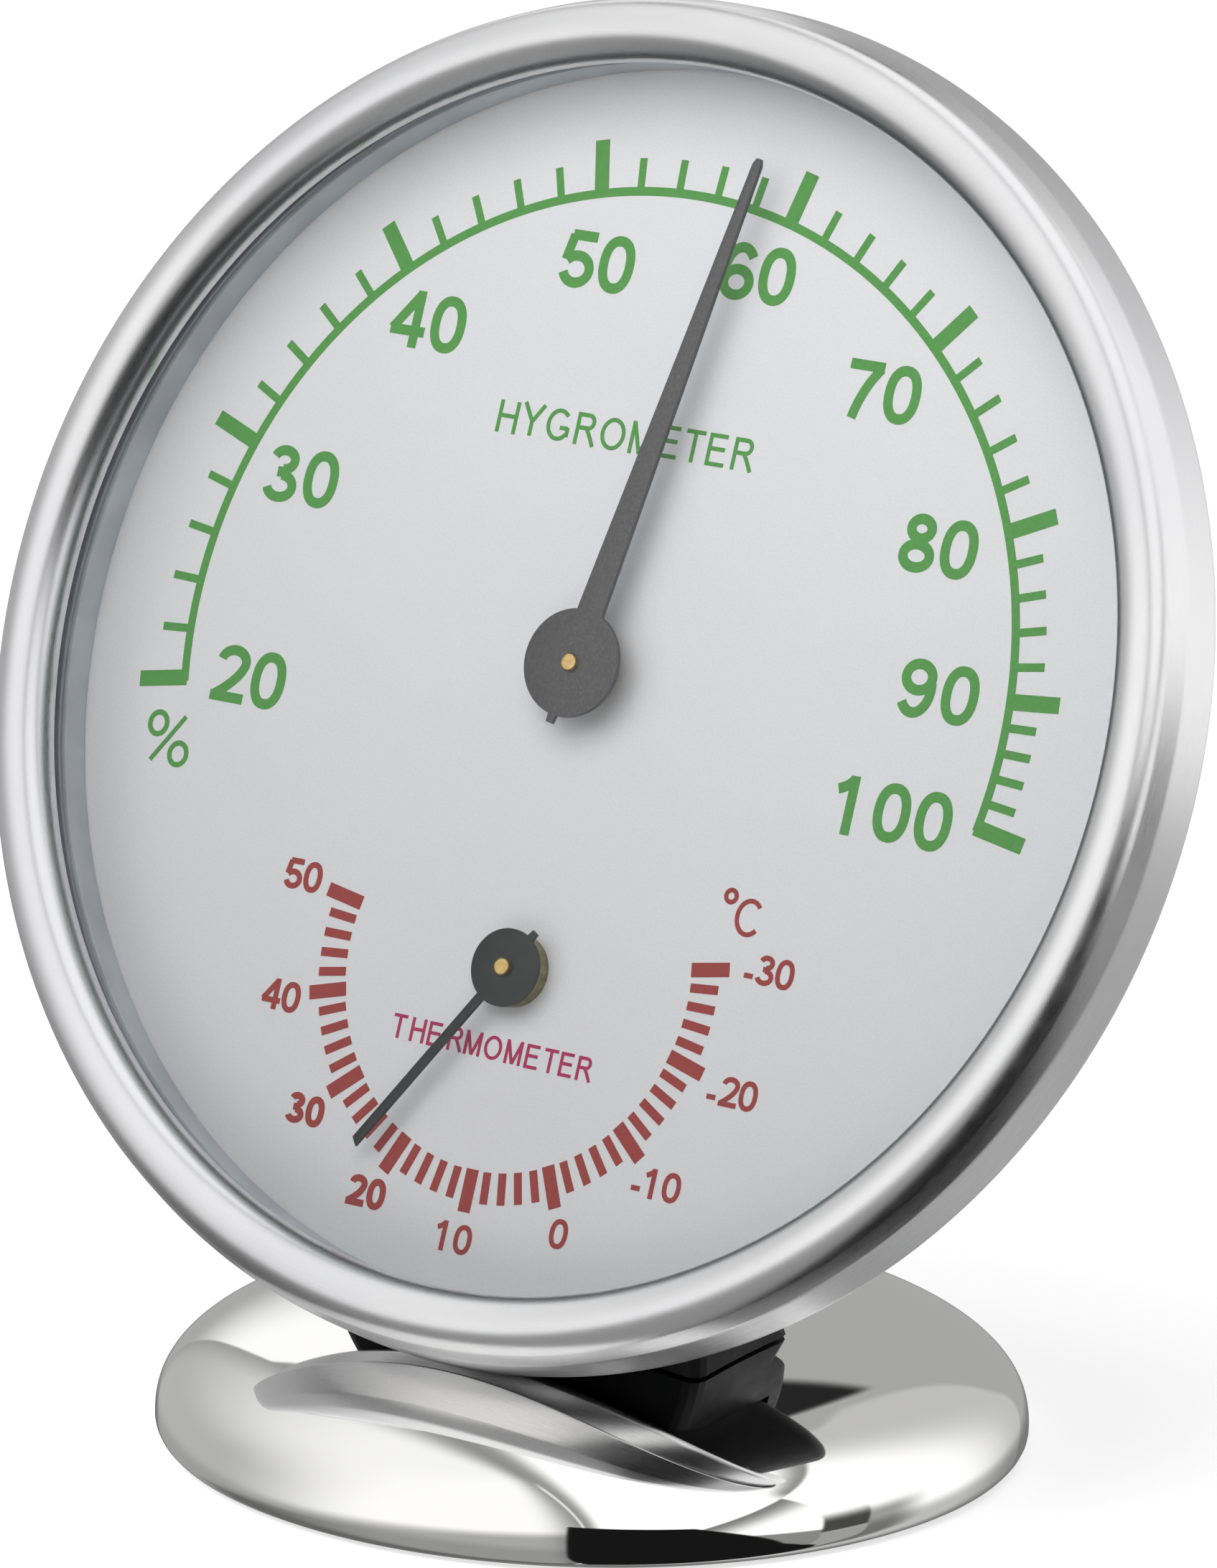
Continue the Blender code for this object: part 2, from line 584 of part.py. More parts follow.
thermo_bush = bush_profile(THERMO_SPINDLE_RADIUS, THERMO_BUSH_RADIUS, THERMO_FLANGE_RADIUS, THERMO_COLLAR)
make_object("thermometer_bush", turned(thermo_bush, SMALL_ROUND), olive_brass, thermo_fixed)
thermo_spindle = spindle_profile(THERMO_SPINDLE_RADIUS, THERMO_COIL_BOTTOM - 0.8, THERMO_SPINDLE_TOP)
make_object("thermometer_spindle", turned(thermo_spindle, SMALL_ROUND), brass, thermo_moving)
thermo_tip = [(22.2, -0.45), (22.6, 0.45)]
thermo_outline = pointer_outline(3.7, 0.45, thermo_tip, 0.4, 4.45)
pointer(
    "thermometer_pointer",
    pointer_black,
    thermo_moving,
    thermo_outline,
    THERMO_POINTER_BOTTOM,
    THERMO_POINTER_THICKNESS,
    THERMO_SPINDLE_RADIUS + HUB_PLAY,
)
thermo_coil = spiral_strip(*THERMO_COIL, THERMO_COIL_BOTTOM, THERMO_COIL_TOP)
make_object("thermometer_coil", thermo_coil, bimetal, thermo_fixed)
post = moved(rod(POST_RADIUS, THERMO_COIL_BOTTOM - 0.6, FLOOR_BACK - GAP), POST_X)
make_object("thermometer_post", post, brass, thermo_fixed)

# ---------------------------------------------------------------- neck


def head_to_world(height_in_head, depth_in_head):
    """World (y, z) of a point given along the head's Y and Z."""
    world_y = height_in_head * math.cos(HEAD_TURN) - depth_in_head * math.sin(HEAD_TURN)
    world_z = HEAD_HEIGHT + height_in_head * math.sin(HEAD_TURN) + depth_in_head * math.cos(HEAD_TURN)
    return (world_y, world_z)


TONGUE_FRONT = COVER_BACK + 1.0
TONGUE_BACK = COVER_BACK - GAP - TONGUE_THICKNESS
TONGUE_BOTTOM = -51.0  # along the head's Y
NECK_FRONT = -14.0
NECK_ROOT = 11.0
NECK_TOP = 24.0
NECK_SCREW = (2.8, 1.5, NECK_SCREW_SHANK, 8.5)

neck_heel = head_to_world(TONGUE_BOTTOM - 2.5, TONGUE_BACK + 2.0)
neck_outline = [
    (NECK_FRONT, NECK_ROOT),
    (neck_heel[0] + 2.5, NECK_ROOT),
    neck_heel,
    head_to_world(TONGUE_BOTTOM, TONGUE_BACK),
    head_to_world(TONGUE_TOP, TONGUE_BACK),
    head_to_world(TONGUE_TOP, TONGUE_FRONT),
    (NECK_FRONT, NECK_TOP),
]
neck_shape = prism(neck_outline, -NECK_WIDTH / 2.0, NECK_WIDTH / 2.0)
side_on = Matrix(((0, 0, 1, 0), (1, 0, 0, 0), (0, 1, 0, 0), (0, 0, 0, 1)))  # X and Y become Y and Z
neck_shape.transform(side_on)
neck = make_object("neck", neck_shape, black_plastic)
bevel(neck, NECK_BEVEL, 3)

foot_cutter = [(0.0, -2.0), (FOOT_RADIUS + GAP, -2.0)]
foot_cutter += foot_curve(GAP, 12)
foot_cutter.append((0.0, FOOT_HEIGHT + GAP))
boolean(neck, make_object("foot_clearance", turned(foot_cutter, ROUND), None), "DIFFERENCE")
cover_clearance = disc(COVER_RADIUS + GAP, COVER_BACK - GAP, 8.0)
boolean(neck, make_object("cover_clearance", cover_clearance, None, head), "DIFFERENCE")
neck_bolt_hole = rod(BOLT_SHANK_RADIUS + GAP, 5.0, BOLT_TOP + GAP)
boolean(neck, make_object("neck_bolt_hole", neck_bolt_hole, None, None, (0.0, BOLT_Y, 0.0)), "DIFFERENCE")
neck_holes = []
for height in NECK_SCREW_HEIGHTS:
    neck_holes.append(moved(rod(NECK_SCREW_SHANK + GAP, TONGUE_BACK - 3.0, COVER_BACK + 3.0), 0.0, height))
boolean(neck, make_object("neck_screw_holes", merge_shapes(neck_holes), None, head), "DIFFERENCE")
for number, height in enumerate(NECK_SCREW_HEIGHTS, start=1):
    place = (0.0, height, TONGUE_BACK - GAP)
    screw(f"neck_screw_{number}", zinc_steel, head, place, NECK_SCREW, 15.0 + 50.0 * number)

# ---------------------------------------------------------------- foot

BOLT_HOLE_RADIUS = BOLT_SHANK_RADIUS + GAP
DOME_STEPS = 11

dome_profile = [(0.0, FOOT_HEIGHT)]
dome_profile += reversed(foot_curve(0.0, DOME_STEPS))
dome_profile.append((FOOT_RADIUS - FOOT_RIM_ROUND[0], FOOT_RIM_BOTTOM + FOOT_RIM_ROUND[1]))
dome_profile.append((FOOT_RIM_RADIUS, FOOT_RIM_BOTTOM))
dome_profile.append((FOOT_RIM_RADIUS - FOOT_SHEET, FOOT_RIM_BOTTOM))
dome_profile += foot_curve(-FOOT_SHEET, DOME_STEPS // 2)
dome_profile.append((0.0, FOOT_HEIGHT - FOOT_SHEET))
base_dome = make_object("base_dome", turned(dome_profile, ROUND), chrome)
plate_top = PLATE_BOTTOM + PLATE_THICKNESS
base_plate = make_object("base_plate", disc(PLATE_RADIUS, PLATE_BOTTOM, plate_top), zinc_steel)
ballast_bottom = plate_top + GAP
ballast_shape = disc(BALLAST_RADIUS, ballast_bottom, ballast_bottom + BALLAST_THICKNESS)
ballast_disc = make_object("ballast_disc", ballast_shape, cast_iron)
bolt_passage_shape = rod(BOLT_HOLE_RADIUS, -1.0, BOLT_TOP)
bolt_passage = make_object("bolt_passage", bolt_passage_shape, None, None, (0.0, BOLT_Y, 0.0))
for drilled in (base_dome, base_plate, ballast_disc):
    boolean(drilled, bolt_passage, "DIFFERENCE")

BASE_BOLT = (3.8, 1.1, BOLT_SHANK_RADIUS, BOLT_TOP - PLATE_BOTTOM)
screw("base_bolt", zinc_steel, None, (0.0, BOLT_Y, PLATE_BOTTOM - GAP), BASE_BOLT, 20.0)

pad_mesh_shape = disc(PAD_RADIUS, 0.0, PLATE_BOTTOM - GAP, SMALL_ROUND)
for number, (pad_x, pad_y) in enumerate(arc((0.0, 0.0), PAD_CIRCLE, 45.0, 315.0, 3), start=1):
    make_object(f"foot_pad_{number}", pad_mesh_shape.copy(), black_rubber, None, (pad_x, pad_y, 0.0))
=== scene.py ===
"""Looks of the dial hygrometer: fine meshes, printed scales, materials, studio and camera."""

import json
import math

import bmesh
import bpy
from mathutils import Matrix, Vector


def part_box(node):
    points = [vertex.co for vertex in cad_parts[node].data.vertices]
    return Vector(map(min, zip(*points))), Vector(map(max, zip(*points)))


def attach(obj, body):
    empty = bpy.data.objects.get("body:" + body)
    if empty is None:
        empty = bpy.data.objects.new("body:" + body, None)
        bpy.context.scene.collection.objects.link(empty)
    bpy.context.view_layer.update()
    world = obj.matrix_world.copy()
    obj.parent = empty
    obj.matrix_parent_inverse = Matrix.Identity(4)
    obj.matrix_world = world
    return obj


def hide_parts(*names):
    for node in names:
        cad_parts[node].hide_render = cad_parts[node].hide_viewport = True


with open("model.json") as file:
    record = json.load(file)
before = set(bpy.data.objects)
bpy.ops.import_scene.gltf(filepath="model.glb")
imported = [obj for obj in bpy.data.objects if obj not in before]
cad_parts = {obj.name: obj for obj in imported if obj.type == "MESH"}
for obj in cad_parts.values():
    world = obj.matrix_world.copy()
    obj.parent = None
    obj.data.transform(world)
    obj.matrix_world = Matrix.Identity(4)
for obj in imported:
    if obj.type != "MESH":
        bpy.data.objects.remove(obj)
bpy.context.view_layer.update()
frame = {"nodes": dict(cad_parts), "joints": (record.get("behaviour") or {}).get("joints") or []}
nodes = frame["nodes"]
MM = 0.001

# ------------------------------------------------------------------ frame of the head


def joint(name):
    return next(j for j in frame["joints"] if j["name"] == name)


NORMAL = Vector(joint("humidity_reading")["axis"]).normalized()
RIGHT = Vector((1.0, 0.0, 0.0))
UP = NORMAL.cross(RIGHT)


def box_middle(node):
    low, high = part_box(node)
    return (Vector(low) + Vector(high)) / 2.0


DIAL_THICKNESS = 0.8
HEAD_CENTRE = box_middle("dial_plate") + NORMAL * (DIAL_THICKNESS / 2.0 * MM)


def placed(origin, turn=0.0):
    """A frame parallel to the dial at a point, turned about the dial's normal, in degrees."""
    axes = Matrix((RIGHT, UP, NORMAL)).transposed().to_4x4()
    return Matrix.Translation(origin) @ axes @ Matrix.Rotation(math.radians(turn), 4, "Z")


HEAD = placed(HEAD_CENTRE)
WORLD = Matrix.Identity(4)
HYGRO_POINT = Vector(joint("humidity_reading")["pos_m"])
THERMO_POINT = Vector(joint("temperature_reading")["pos_m"])
HYGRO_READING = 80.6  # where the pointers stand in the photo, in degrees from the dial's right
THERMO_READING = -123.0

# ------------------------------------------------------------------ mesh helpers


def finish_mesh(name, shape, matrix, material, body, node=None, sharp=32.0):
    """Turns a bmesh in millimetres into a piece that rides on a body and may replace a CAD node."""
    bmesh.ops.recalc_face_normals(shape, faces=shape.faces)
    bmesh.ops.scale(shape, vec=Vector((MM, MM, MM)), verts=shape.verts)
    mesh = bpy.data.meshes.new(name)
    shape.to_mesh(mesh)
    shape.free()
    mesh.shade_smooth()
    mesh.set_sharp_from_angle(angle=math.radians(sharp))
    mesh.materials.append(material)
    obj = bpy.data.objects.new(name, mesh)
    bpy.context.scene.collection.objects.link(obj)
    obj.matrix_world = matrix
    bpy.context.view_layer.update()
    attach(obj, body)
    if node:
        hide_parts(node)


def turned(profile, sides):
    """A solid of revolution about Z; a profile that leaves the axis free closes on itself."""
    shape = bmesh.new()
    loops = []
    for radius, height in profile:
        if radius == 0.0:
            loops.append([shape.verts.new((0.0, 0.0, height))])
            continue
        angles = [2.0 * math.pi * side / sides for side in range(sides)]
        ring = [(radius * math.cos(a), radius * math.sin(a), height) for a in angles]
        loops.append([shape.verts.new(point) for point in ring])
    pairs = list(zip(loops, loops[1:]))
    if len(loops[0]) > 1 and len(loops[-1]) > 1:
        pairs.append((loops[-1], loops[0]))
    for lower, upper in pairs:
        for side in range(sides):
            after = (side + 1) % sides
            if len(lower) == 1:
                shape.faces.new((lower[0], upper[side], upper[after]))
            elif len(upper) == 1:
                shape.faces.new((lower[side], lower[after], upper[0]))
            else:
                shape.faces.new((lower[side], lower[after], upper[after], upper[side]))
    return shape


def arc(centre, radius, start, end, steps):
    """Points on an arc, in degrees; radius may be a pair for an ellipse."""
    rx, ry = radius if isinstance(radius, tuple) else (radius, radius)
    points = []
    for step in range(steps + 1):
        angle = math.radians(start + (end - start) * step / steps)
        points.append((centre[0] + rx * math.cos(angle), centre[1] + ry * math.sin(angle)))
    return points


def rounded(profile, radius, steps=4, closed=True):
    """Replaces each corner of a profile by a small arc-like curve."""
    points = [Vector(p) for p in profile]
    count = len(points)
    out = []
    for index, point in enumerate(points):
        before, after = points[index - 1], points[(index + 1) % count]
        if not closed and index in (0, count - 1):
            out.append(tuple(point))
            continue
        into, away = before - point, after - point
        cut = min(radius, into.length * 0.45, away.length * 0.45)
        start, end = point + into.normalized() * cut, point + away.normalized() * cut
        for step in range(steps + 1):
            t = step / steps
            out.append(tuple(start * (1 - t) ** 2 + point * 2 * t * (1 - t) + end * t * t))
    return out


def prism(outline, bottom, top, bevel=0.0):
    """An outline extruded along Z, its top edge rounded where a bevel is given."""
    shape = bmesh.new()
    face = shape.faces.new([shape.verts.new((x, y, bottom)) for x, y in outline])
    extruded = bmesh.ops.extrude_face_region(shape, geom=[face])
    lifted = [part for part in extruded["geom"] if isinstance(part, bmesh.types.BMVert)]
    bmesh.ops.translate(shape, vec=(0.0, 0.0, top - bottom), verts=lifted)
    if bevel:
        rim = [e for e in shape.edges if all(abs(v.co.z - top) < 1e-6 for v in e.verts)]
        bmesh.ops.bevel(shape, geom=rim, offset=bevel, segments=2, affect="EDGES", profile=0.5)
    return shape


def joined(shapes):
    """Puts several closed shapes in one."""
    merged = bmesh.new()
    for shape in shapes:
        copy = bpy.data.meshes.new("copy")
        shape.to_mesh(copy)
        shape.free()
        merged.from_mesh(copy)
        bpy.data.meshes.remove(copy)
    return merged


def shifted(shape, x, y):
    shape.transform(Matrix.Translation((x, y, 0.0)))
    return shape


def scratch_object(shape):
    mesh = bpy.data.meshes.new("scratch")
    shape.to_mesh(mesh)
    shape.free()
    obj = bpy.data.objects.new("scratch", mesh)
    bpy.context.scene.collection.objects.link(obj)
    return obj


def carved(shape, cutters):
    """Cuts closed shapes out of a shape."""
    body, tool = scratch_object(shape), scratch_object(joined(cutters))
    step = body.modifiers.new("cut", "BOOLEAN")
    step.operation = "DIFFERENCE"
    step.solver = "EXACT"
    step.object = tool
    bpy.context.view_layer.update()
    cut = body.evaluated_get(bpy.context.evaluated_depsgraph_get())
    result = bmesh.new()
    result.from_mesh(cut.to_mesh())
    cut.to_mesh_clear()
    for obj in (body, tool):
        mesh = obj.data
        bpy.data.objects.remove(obj)
        bpy.data.meshes.remove(mesh)
    return result


# ------------------------------------------------------------------ materials


class Nodes:
    """Short names for building a Principled material."""

    def __init__(self, name, colour, roughness, metallic=0.0, **sockets):
        self.material = bpy.data.materials.new(name)
        self.material.use_nodes = True
        self.tree = self.material.node_tree
        self.shader = self.tree.nodes["Principled BSDF"]
        self.set("Base Color", (*colour, 1.0))
        self.set("Roughness", roughness)
        self.set("Metallic", metallic)
        for socket, value in sockets.items():
            self.set(socket.replace("_", " "), value)

    def set(self, socket, value):
        self.shader.inputs[socket].default_value = value

    def add(self, kind, **settings):
        node = self.tree.nodes.new(kind)
        for key, value in settings.items():
            setattr(node, key, value)
        return node

    def link(self, source, target):
        self.tree.links.new(source, target)

    def object_space(self):
        return self.add("ShaderNodeTexCoord").outputs["Object"]

    def noise(self, scale, detail=3.0, vector=None, roughness=0.5):
        node = self.add("ShaderNodeTexNoise")
        node.inputs["Scale"].default_value = scale
        node.inputs["Detail"].default_value = detail
        node.inputs["Roughness"].default_value = roughness
        self.link(vector or self.object_space(), node.inputs["Vector"])
        return node.outputs["Fac"]

    def vary_colour(self, value, dark, light, low=0.35, high=0.65):
        ramp = self.add("ShaderNodeValToRGB")
        ramp.color_ramp.elements[0].position = low
        ramp.color_ramp.elements[0].color = (*dark, 1.0)
        ramp.color_ramp.elements[1].position = high
        ramp.color_ramp.elements[1].color = (*light, 1.0)
        self.link(value, ramp.inputs["Fac"])
        self.link(ramp.outputs["Color"], self.shader.inputs["Base Color"])

    def vary_roughness(self, value, low, high):
        """Roughness from low to high as a noise goes through its usual range."""
        node = self.add("ShaderNodeMapRange")
        for socket, number in (("From Min", 0.3), ("From Max", 0.7), ("To Min", low), ("To Max", high)):
            node.inputs[socket].default_value = number
        self.link(value, node.inputs["Value"])
        self.link(node.outputs["Result"], self.shader.inputs["Roughness"])

    def bump(self, value, strength, distance=0.0001):
        node = self.add("ShaderNodeBump")
        node.inputs["Strength"].default_value = strength
        node.inputs["Distance"].default_value = distance
        self.link(value, node.inputs["Height"])
        self.link(node.outputs["Normal"], self.shader.inputs["Normal"])

    def polar(self, radial, around, axial):
        """Object space turned into (radius, angle, height), each scaled: for marks left by turning."""
        split = self.add("ShaderNodeSeparateXYZ")
        self.link(self.object_space(), split.inputs["Vector"])
        flat = self.add("ShaderNodeCombineXYZ")
        self.link(split.outputs["X"], flat.inputs["X"])
        self.link(split.outputs["Y"], flat.inputs["Y"])
        length = self.add("ShaderNodeVectorMath", operation="LENGTH")
        self.link(flat.outputs["Vector"], length.inputs[0])
        unit = self.add("ShaderNodeVectorMath", operation="NORMALIZE")
        self.link(flat.outputs["Vector"], unit.inputs[0])
        along = self.add("ShaderNodeVectorMath", operation="SCALE")
        self.link(unit.outputs["Vector"], along.inputs[0])
        along.inputs["Scale"].default_value = around
        out = self.add("ShaderNodeMath", operation="MULTIPLY")
        self.link(length.outputs["Value"], out.inputs[0])
        out.inputs[1].default_value = radial
        high = self.add("ShaderNodeMath", operation="MULTIPLY_ADD")
        self.link(split.outputs["Z"], high.inputs[0])
        high.inputs[1].default_value = axial
        self.link(out.outputs["Value"], high.inputs[2])
        lift = self.add("ShaderNodeCombineXYZ")
        self.link(high.outputs["Value"], lift.inputs["Z"])
        total = self.add("ShaderNodeVectorMath", operation="ADD")
        self.link(along.outputs["Vector"], total.inputs[0])
        self.link(lift.outputs["Vector"], total.inputs[1])
        return total.outputs["Vector"]


def make_brushed_metal():
    m = Nodes("brushed_metal", (0.80, 0.80, 0.81), 0.24, 1.0)
    grooves = m.noise(1.0, 4.0, m.polar(11000.0, 24.0, 11000.0), 0.6)
    m.vary_roughness(grooves, 0.26, 0.33)
    m.vary_colour(m.noise(26.0, 3.0), (0.77, 0.77, 0.785), (0.84, 0.84, 0.845))
    m.bump(grooves, 0.05, 0.00002)
    return m.material


def make_chrome():
    m = Nodes("mirror_chrome", (0.93, 0.925, 0.915), 0.03, 1.0)
    m.vary_roughness(m.noise(60.0, 5.0), 0.018, 0.045)
    m.bump(m.noise(900.0, 2.0), 0.015, 0.00001)
    return m.material


def make_dial_paint():
    m = Nodes("dial_paint", (0.60, 0.597, 0.608), 0.42, 0.0, Specular_IOR_Level=0.5)
    grain = m.noise(5200.0, 2.0)
    m.vary_colour(grain, (0.582, 0.578, 0.590), (0.620, 0.616, 0.628))
    m.vary_roughness(m.noise(90.0, 3.0), 0.36, 0.46)
    m.bump(grain, 0.05, 0.00001)
    return m.material


def make_plastic(name, colour, roughness, grain_scale=2600.0, strength=0.25, **sockets):
    m = Nodes(name, colour, roughness, **sockets)
    grain = m.noise(grain_scale, 2.0)
    light = tuple(min(1.0, c * 1.25 + 0.002) for c in colour)
    m.vary_colour(m.noise(120.0, 3.0), colour, light)
    m.vary_roughness(m.noise(300.0, 3.0), roughness - 0.06, roughness + 0.08)
    m.bump(grain, strength, 0.00002)
    return m.material


def make_turned_metal(name, dark, light, roughness):
    m = Nodes(name, light, roughness, 1.0)
    rings = m.noise(1.0, 3.0, m.polar(12000.0, 3.0, 3000.0))
    m.vary_colour(m.noise(1500.0, 3.0), dark, light)
    m.vary_roughness(rings, roughness - 0.08, roughness + 0.10)
    m.bump(rings, 0.20, 0.00001)
    return m.material


def make_ink(name, colour):
    m = Nodes(name, colour, 0.5, 0.0, Specular_IOR_Level=0.25)
    light = tuple(min(1.0, c * 1.15 + 0.003) for c in colour)
    m.vary_colour(m.noise(2600.0, 3.0), colour, light, 0.42, 0.72)
    return m.material


def make_glass():
    """Clear glass: it hides nothing, and what little it shows is its mirror reflection."""
    m = Nodes("window_glass", (0.86, 0.92, 0.93), 0.02, 1.0)
    fresnel = m.add("ShaderNodeFresnel")
    fresnel.inputs["IOR"].default_value = 1.27
    m.link(fresnel.outputs["Fac"], m.shader.inputs["Alpha"])
    m.vary_roughness(m.noise(40.0, 2.0), 0.01, 0.03)
    return m.material


def make_pointer_paint(name, colour, roughness, metallic):
    m = Nodes(name, colour, roughness, metallic)
    speck = m.noise(3600.0, 4.0)
    light = tuple(min(1.0, c * 1.35 + 0.01) for c in colour)
    m.vary_colour(speck, colour, light, 0.45, 0.75)
    m.vary_roughness(m.noise(800.0, 3.0), roughness - 0.06, roughness + 0.08)
    m.bump(speck, 0.15, 0.00001)
    return m.material


BRUSHED = make_brushed_metal()
CHROME = make_chrome()
DIAL = make_dial_paint()
GLASS = make_glass()
BLACK = make_plastic("black_moulding", (0.005, 0.005, 0.006), 0.46, Specular_IOR_Level=0.15)
RUBBER = make_plastic("black_rubber", (0.02, 0.02, 0.02), 0.75, 1800.0, 0.4)
GASKET = make_plastic("grey_rubber", (0.25, 0.26, 0.28), 0.6, 1800.0, 0.3)
SPACER = make_plastic("spacer_grey", (0.40, 0.42, 0.45), 0.35, 1800.0, 0.1)
BRASS = make_turned_metal("turned_brass", (0.60, 0.40, 0.14), (0.80, 0.58, 0.24), 0.32)
OLIVE = make_turned_metal("olive_brass", (0.20, 0.16, 0.07), (0.34, 0.28, 0.13), 0.42)
ZINC = make_turned_metal("zinc_plate", (0.50, 0.50, 0.51), (0.66, 0.66, 0.67), 0.34)
IRON = make_plastic("cast_iron", (0.10, 0.10, 0.105), 0.6, 900.0, 0.6)
FILM = make_plastic("coil_film", (0.60, 0.52, 0.38), 0.4)
BIMETAL = make_turned_metal("bimetal", (0.45, 0.38, 0.28), (0.60, 0.52, 0.40), 0.35)
POINTER_GREY = make_pointer_paint("pointer_grey", (0.070, 0.066, 0.068), 0.42, 0.3)
POINTER_BLACK = make_pointer_paint("pointer_black", (0.004, 0.004, 0.004), 0.45, 0.0)
GREEN_INK = make_ink("green_ink", (0.060, 0.240, 0.040))
RED_INK = make_ink("red_ink", (0.26, 0.026, 0.020))
CRIMSON_INK = make_ink("crimson_ink", (0.33, 0.004, 0.070))

# ------------------------------------------------------------------ case
# Profiles are (radius, height over the dial's face), in millimetres.

BEAD = (60.93, 6.7)  # middle of the half-round bead
BEAD_RADIUS = 2.97
SHEET = 0.6  # thickness of the pressed metal
LIP_BOTTOM = 6.2
LIP_TOP = 6.6
CREASE_OUT = 0.40  # the crease lies this far outside the bead
CREASE_TOP = 6.05
CREASE_BOTTOM = 5.75
RIM_RADIUS = 64.9
RIM_HEIGHT = 1.5
HEM_TOP = 2.2
FINE, MEDIUM, COARSE = 384, 256, 192  # sides of turned pieces


def bezel_profile():
    """Lip, half-round bead, a shallow crease, and a skirt that flares to a hemmed rim."""
    inside = BEAD_RADIUS - SHEET
    lip = BEAD[0] - BEAD_RADIUS
    crease = BEAD[0] + BEAD_RADIUS + CREASE_OUT
    points = rounded([(BEAD[0] - inside, LIP_BOTTOM), (lip, LIP_BOTTOM), (lip, LIP_TOP)], 0.08, 3, False)
    points += arc(BEAD, BEAD_RADIUS, 180.0, 24.0, 40)
    shoulder = [points[-1], (crease, CREASE_TOP), (crease + 0.06, CREASE_BOTTOM),
                (RIM_RADIUS, RIM_HEIGHT + 0.3)]
    points += rounded(shoulder, 0.12, 4, False)[1:-1]
    slope_start = points[-1]
    for step in range(1, 9):
        t = step / 9.0
        points.append((slope_start[0] + (RIM_RADIUS - slope_start[0]) * t,
                       slope_start[1] + (RIM_HEIGHT - slope_start[1]) * t))
    behind = RIM_RADIUS - SHEET
    hem = [points[-1], (RIM_RADIUS, RIM_HEIGHT), (behind, RIM_HEIGHT), (behind, HEM_TOP)]
    points += rounded(hem, 0.22, 4, False)[1:]
    points += arc(BEAD, inside, -4.0, 180.0, 20)
    return points


def flat_ring(inner, outer, bottom, top, ease):
    """A ring of oblong section with eased edges."""
    return turned(rounded([(inner, bottom), (outer, bottom), (outer, top), (inner, top)], ease, 3), MEDIUM)


finish_mesh("bezel", turned(bezel_profile(), FINE), HEAD, BRUSHED, "root", "bezel_ring")

GLASS_BOTTOM, GLASS_TOP = 4.2, 5.9
glass_profile = [(0.0, GLASS_BOTTOM), (62.1, GLASS_BOTTOM), (62.3, GLASS_BOTTOM + 0.2),
                 (62.3, GLASS_TOP - 0.2), (62.1, GLASS_TOP), (0.0, GLASS_TOP)]
finish_mesh("window", turned(glass_profile, COARSE), HEAD, GLASS, "root", "glass_lens")
spacer = flat_ring(58.6, 60.3, 0.05, 3.35, 0.15)
finish_mesh("spacer", spacer, HEAD, SPACER, "root", "dial_spacer")
gasket = flat_ring(58.9, 61.8, 3.6, 4.1, 0.12)
finish_mesh("gasket", gasket, HEAD, GASKET, "root", "lens_gasket")

dial_profile = [(0.0, -DIAL_THICKNESS), (60.2, -DIAL_THICKNESS), (60.3, -0.7), (60.3, -0.08),
                (60.22, 0.0), (0.0, 0.0)]
finish_mesh("dial", turned(dial_profile, MEDIUM), HEAD, DIAL, "root", "dial_plate")

# ------------------------------------------------------------------ rear housing and back cover

COVER_SCREWS = arc((0.0, 0.0), 42.0, 90.0, 330.0, 2)  # three, on a circle of 42 mm radius
NECK_SCREWS = ((0.0, -31.0), (0.0, -40.0))
SPINDLE = (-2.3, 1.3)  # the large pointer's axis, where the calibration screw sits
BOSS_REAR, BOSS_FRONT = -18.1, -2.0
CUT_REAR, CUT_FRONT = -21.0, -17.4  # a cutter between these heights passes through the cover's rear wall
VENT_ROWS, VENT_PITCH, VENT_MIDDLE = 7, 5.0, 4.0
VENT_SIDES, VENT_REACH, VENT_RADIUS = (-22.0, 22.0), 6.9, 1.1

# pan with a rolled edge, its wall a little above the dial's face
housing_profile = [(0.0, -2.9), (60.4, -2.9)] + arc((60.7, -1.7), 1.2, -90.0, 0.0, 8)
housing_profile += [(61.9, 3.3), (61.8, 3.4), (60.8, 3.4), (60.7, 3.3), (60.7, -1.1), (0.0, -1.1)]
housing = [turned(housing_profile, MEDIUM)]
screw_boss = [(1.6, BOSS_REAR), (3.4, BOSS_REAR), (3.4, BOSS_FRONT), (1.6, BOSS_FRONT)]
for x, y in COVER_SCREWS:
    housing.append(shifted(turned(screw_boss, 48), x, y))
finish_mesh("rear_shell", joined(housing), HEAD, BRUSHED, "root", "rear_housing")

# cup with a rounded rear corner, open to the front
cover_profile = [(0.0, -20.0)] + arc((46.5, -17.0), 3.0, -90.0, 0.0, 12)
cover_profile += [(49.5, -3.3), (49.4, -3.2), (48.0, -3.2), (47.9, -3.3), (47.9, -17.0)]
cover_profile += arc((46.5, -17.0), 1.4, 0.0, -90.0, 6) + [(0.0, -18.4)]


def hole(radius, x, y):
    """A round cutter for the cover's rear wall."""
    profile = [(0.0, CUT_REAR), (radius, CUT_REAR), (radius, CUT_FRONT), (0.0, CUT_FRONT)]
    return shifted(turned(profile, 48), x, y)


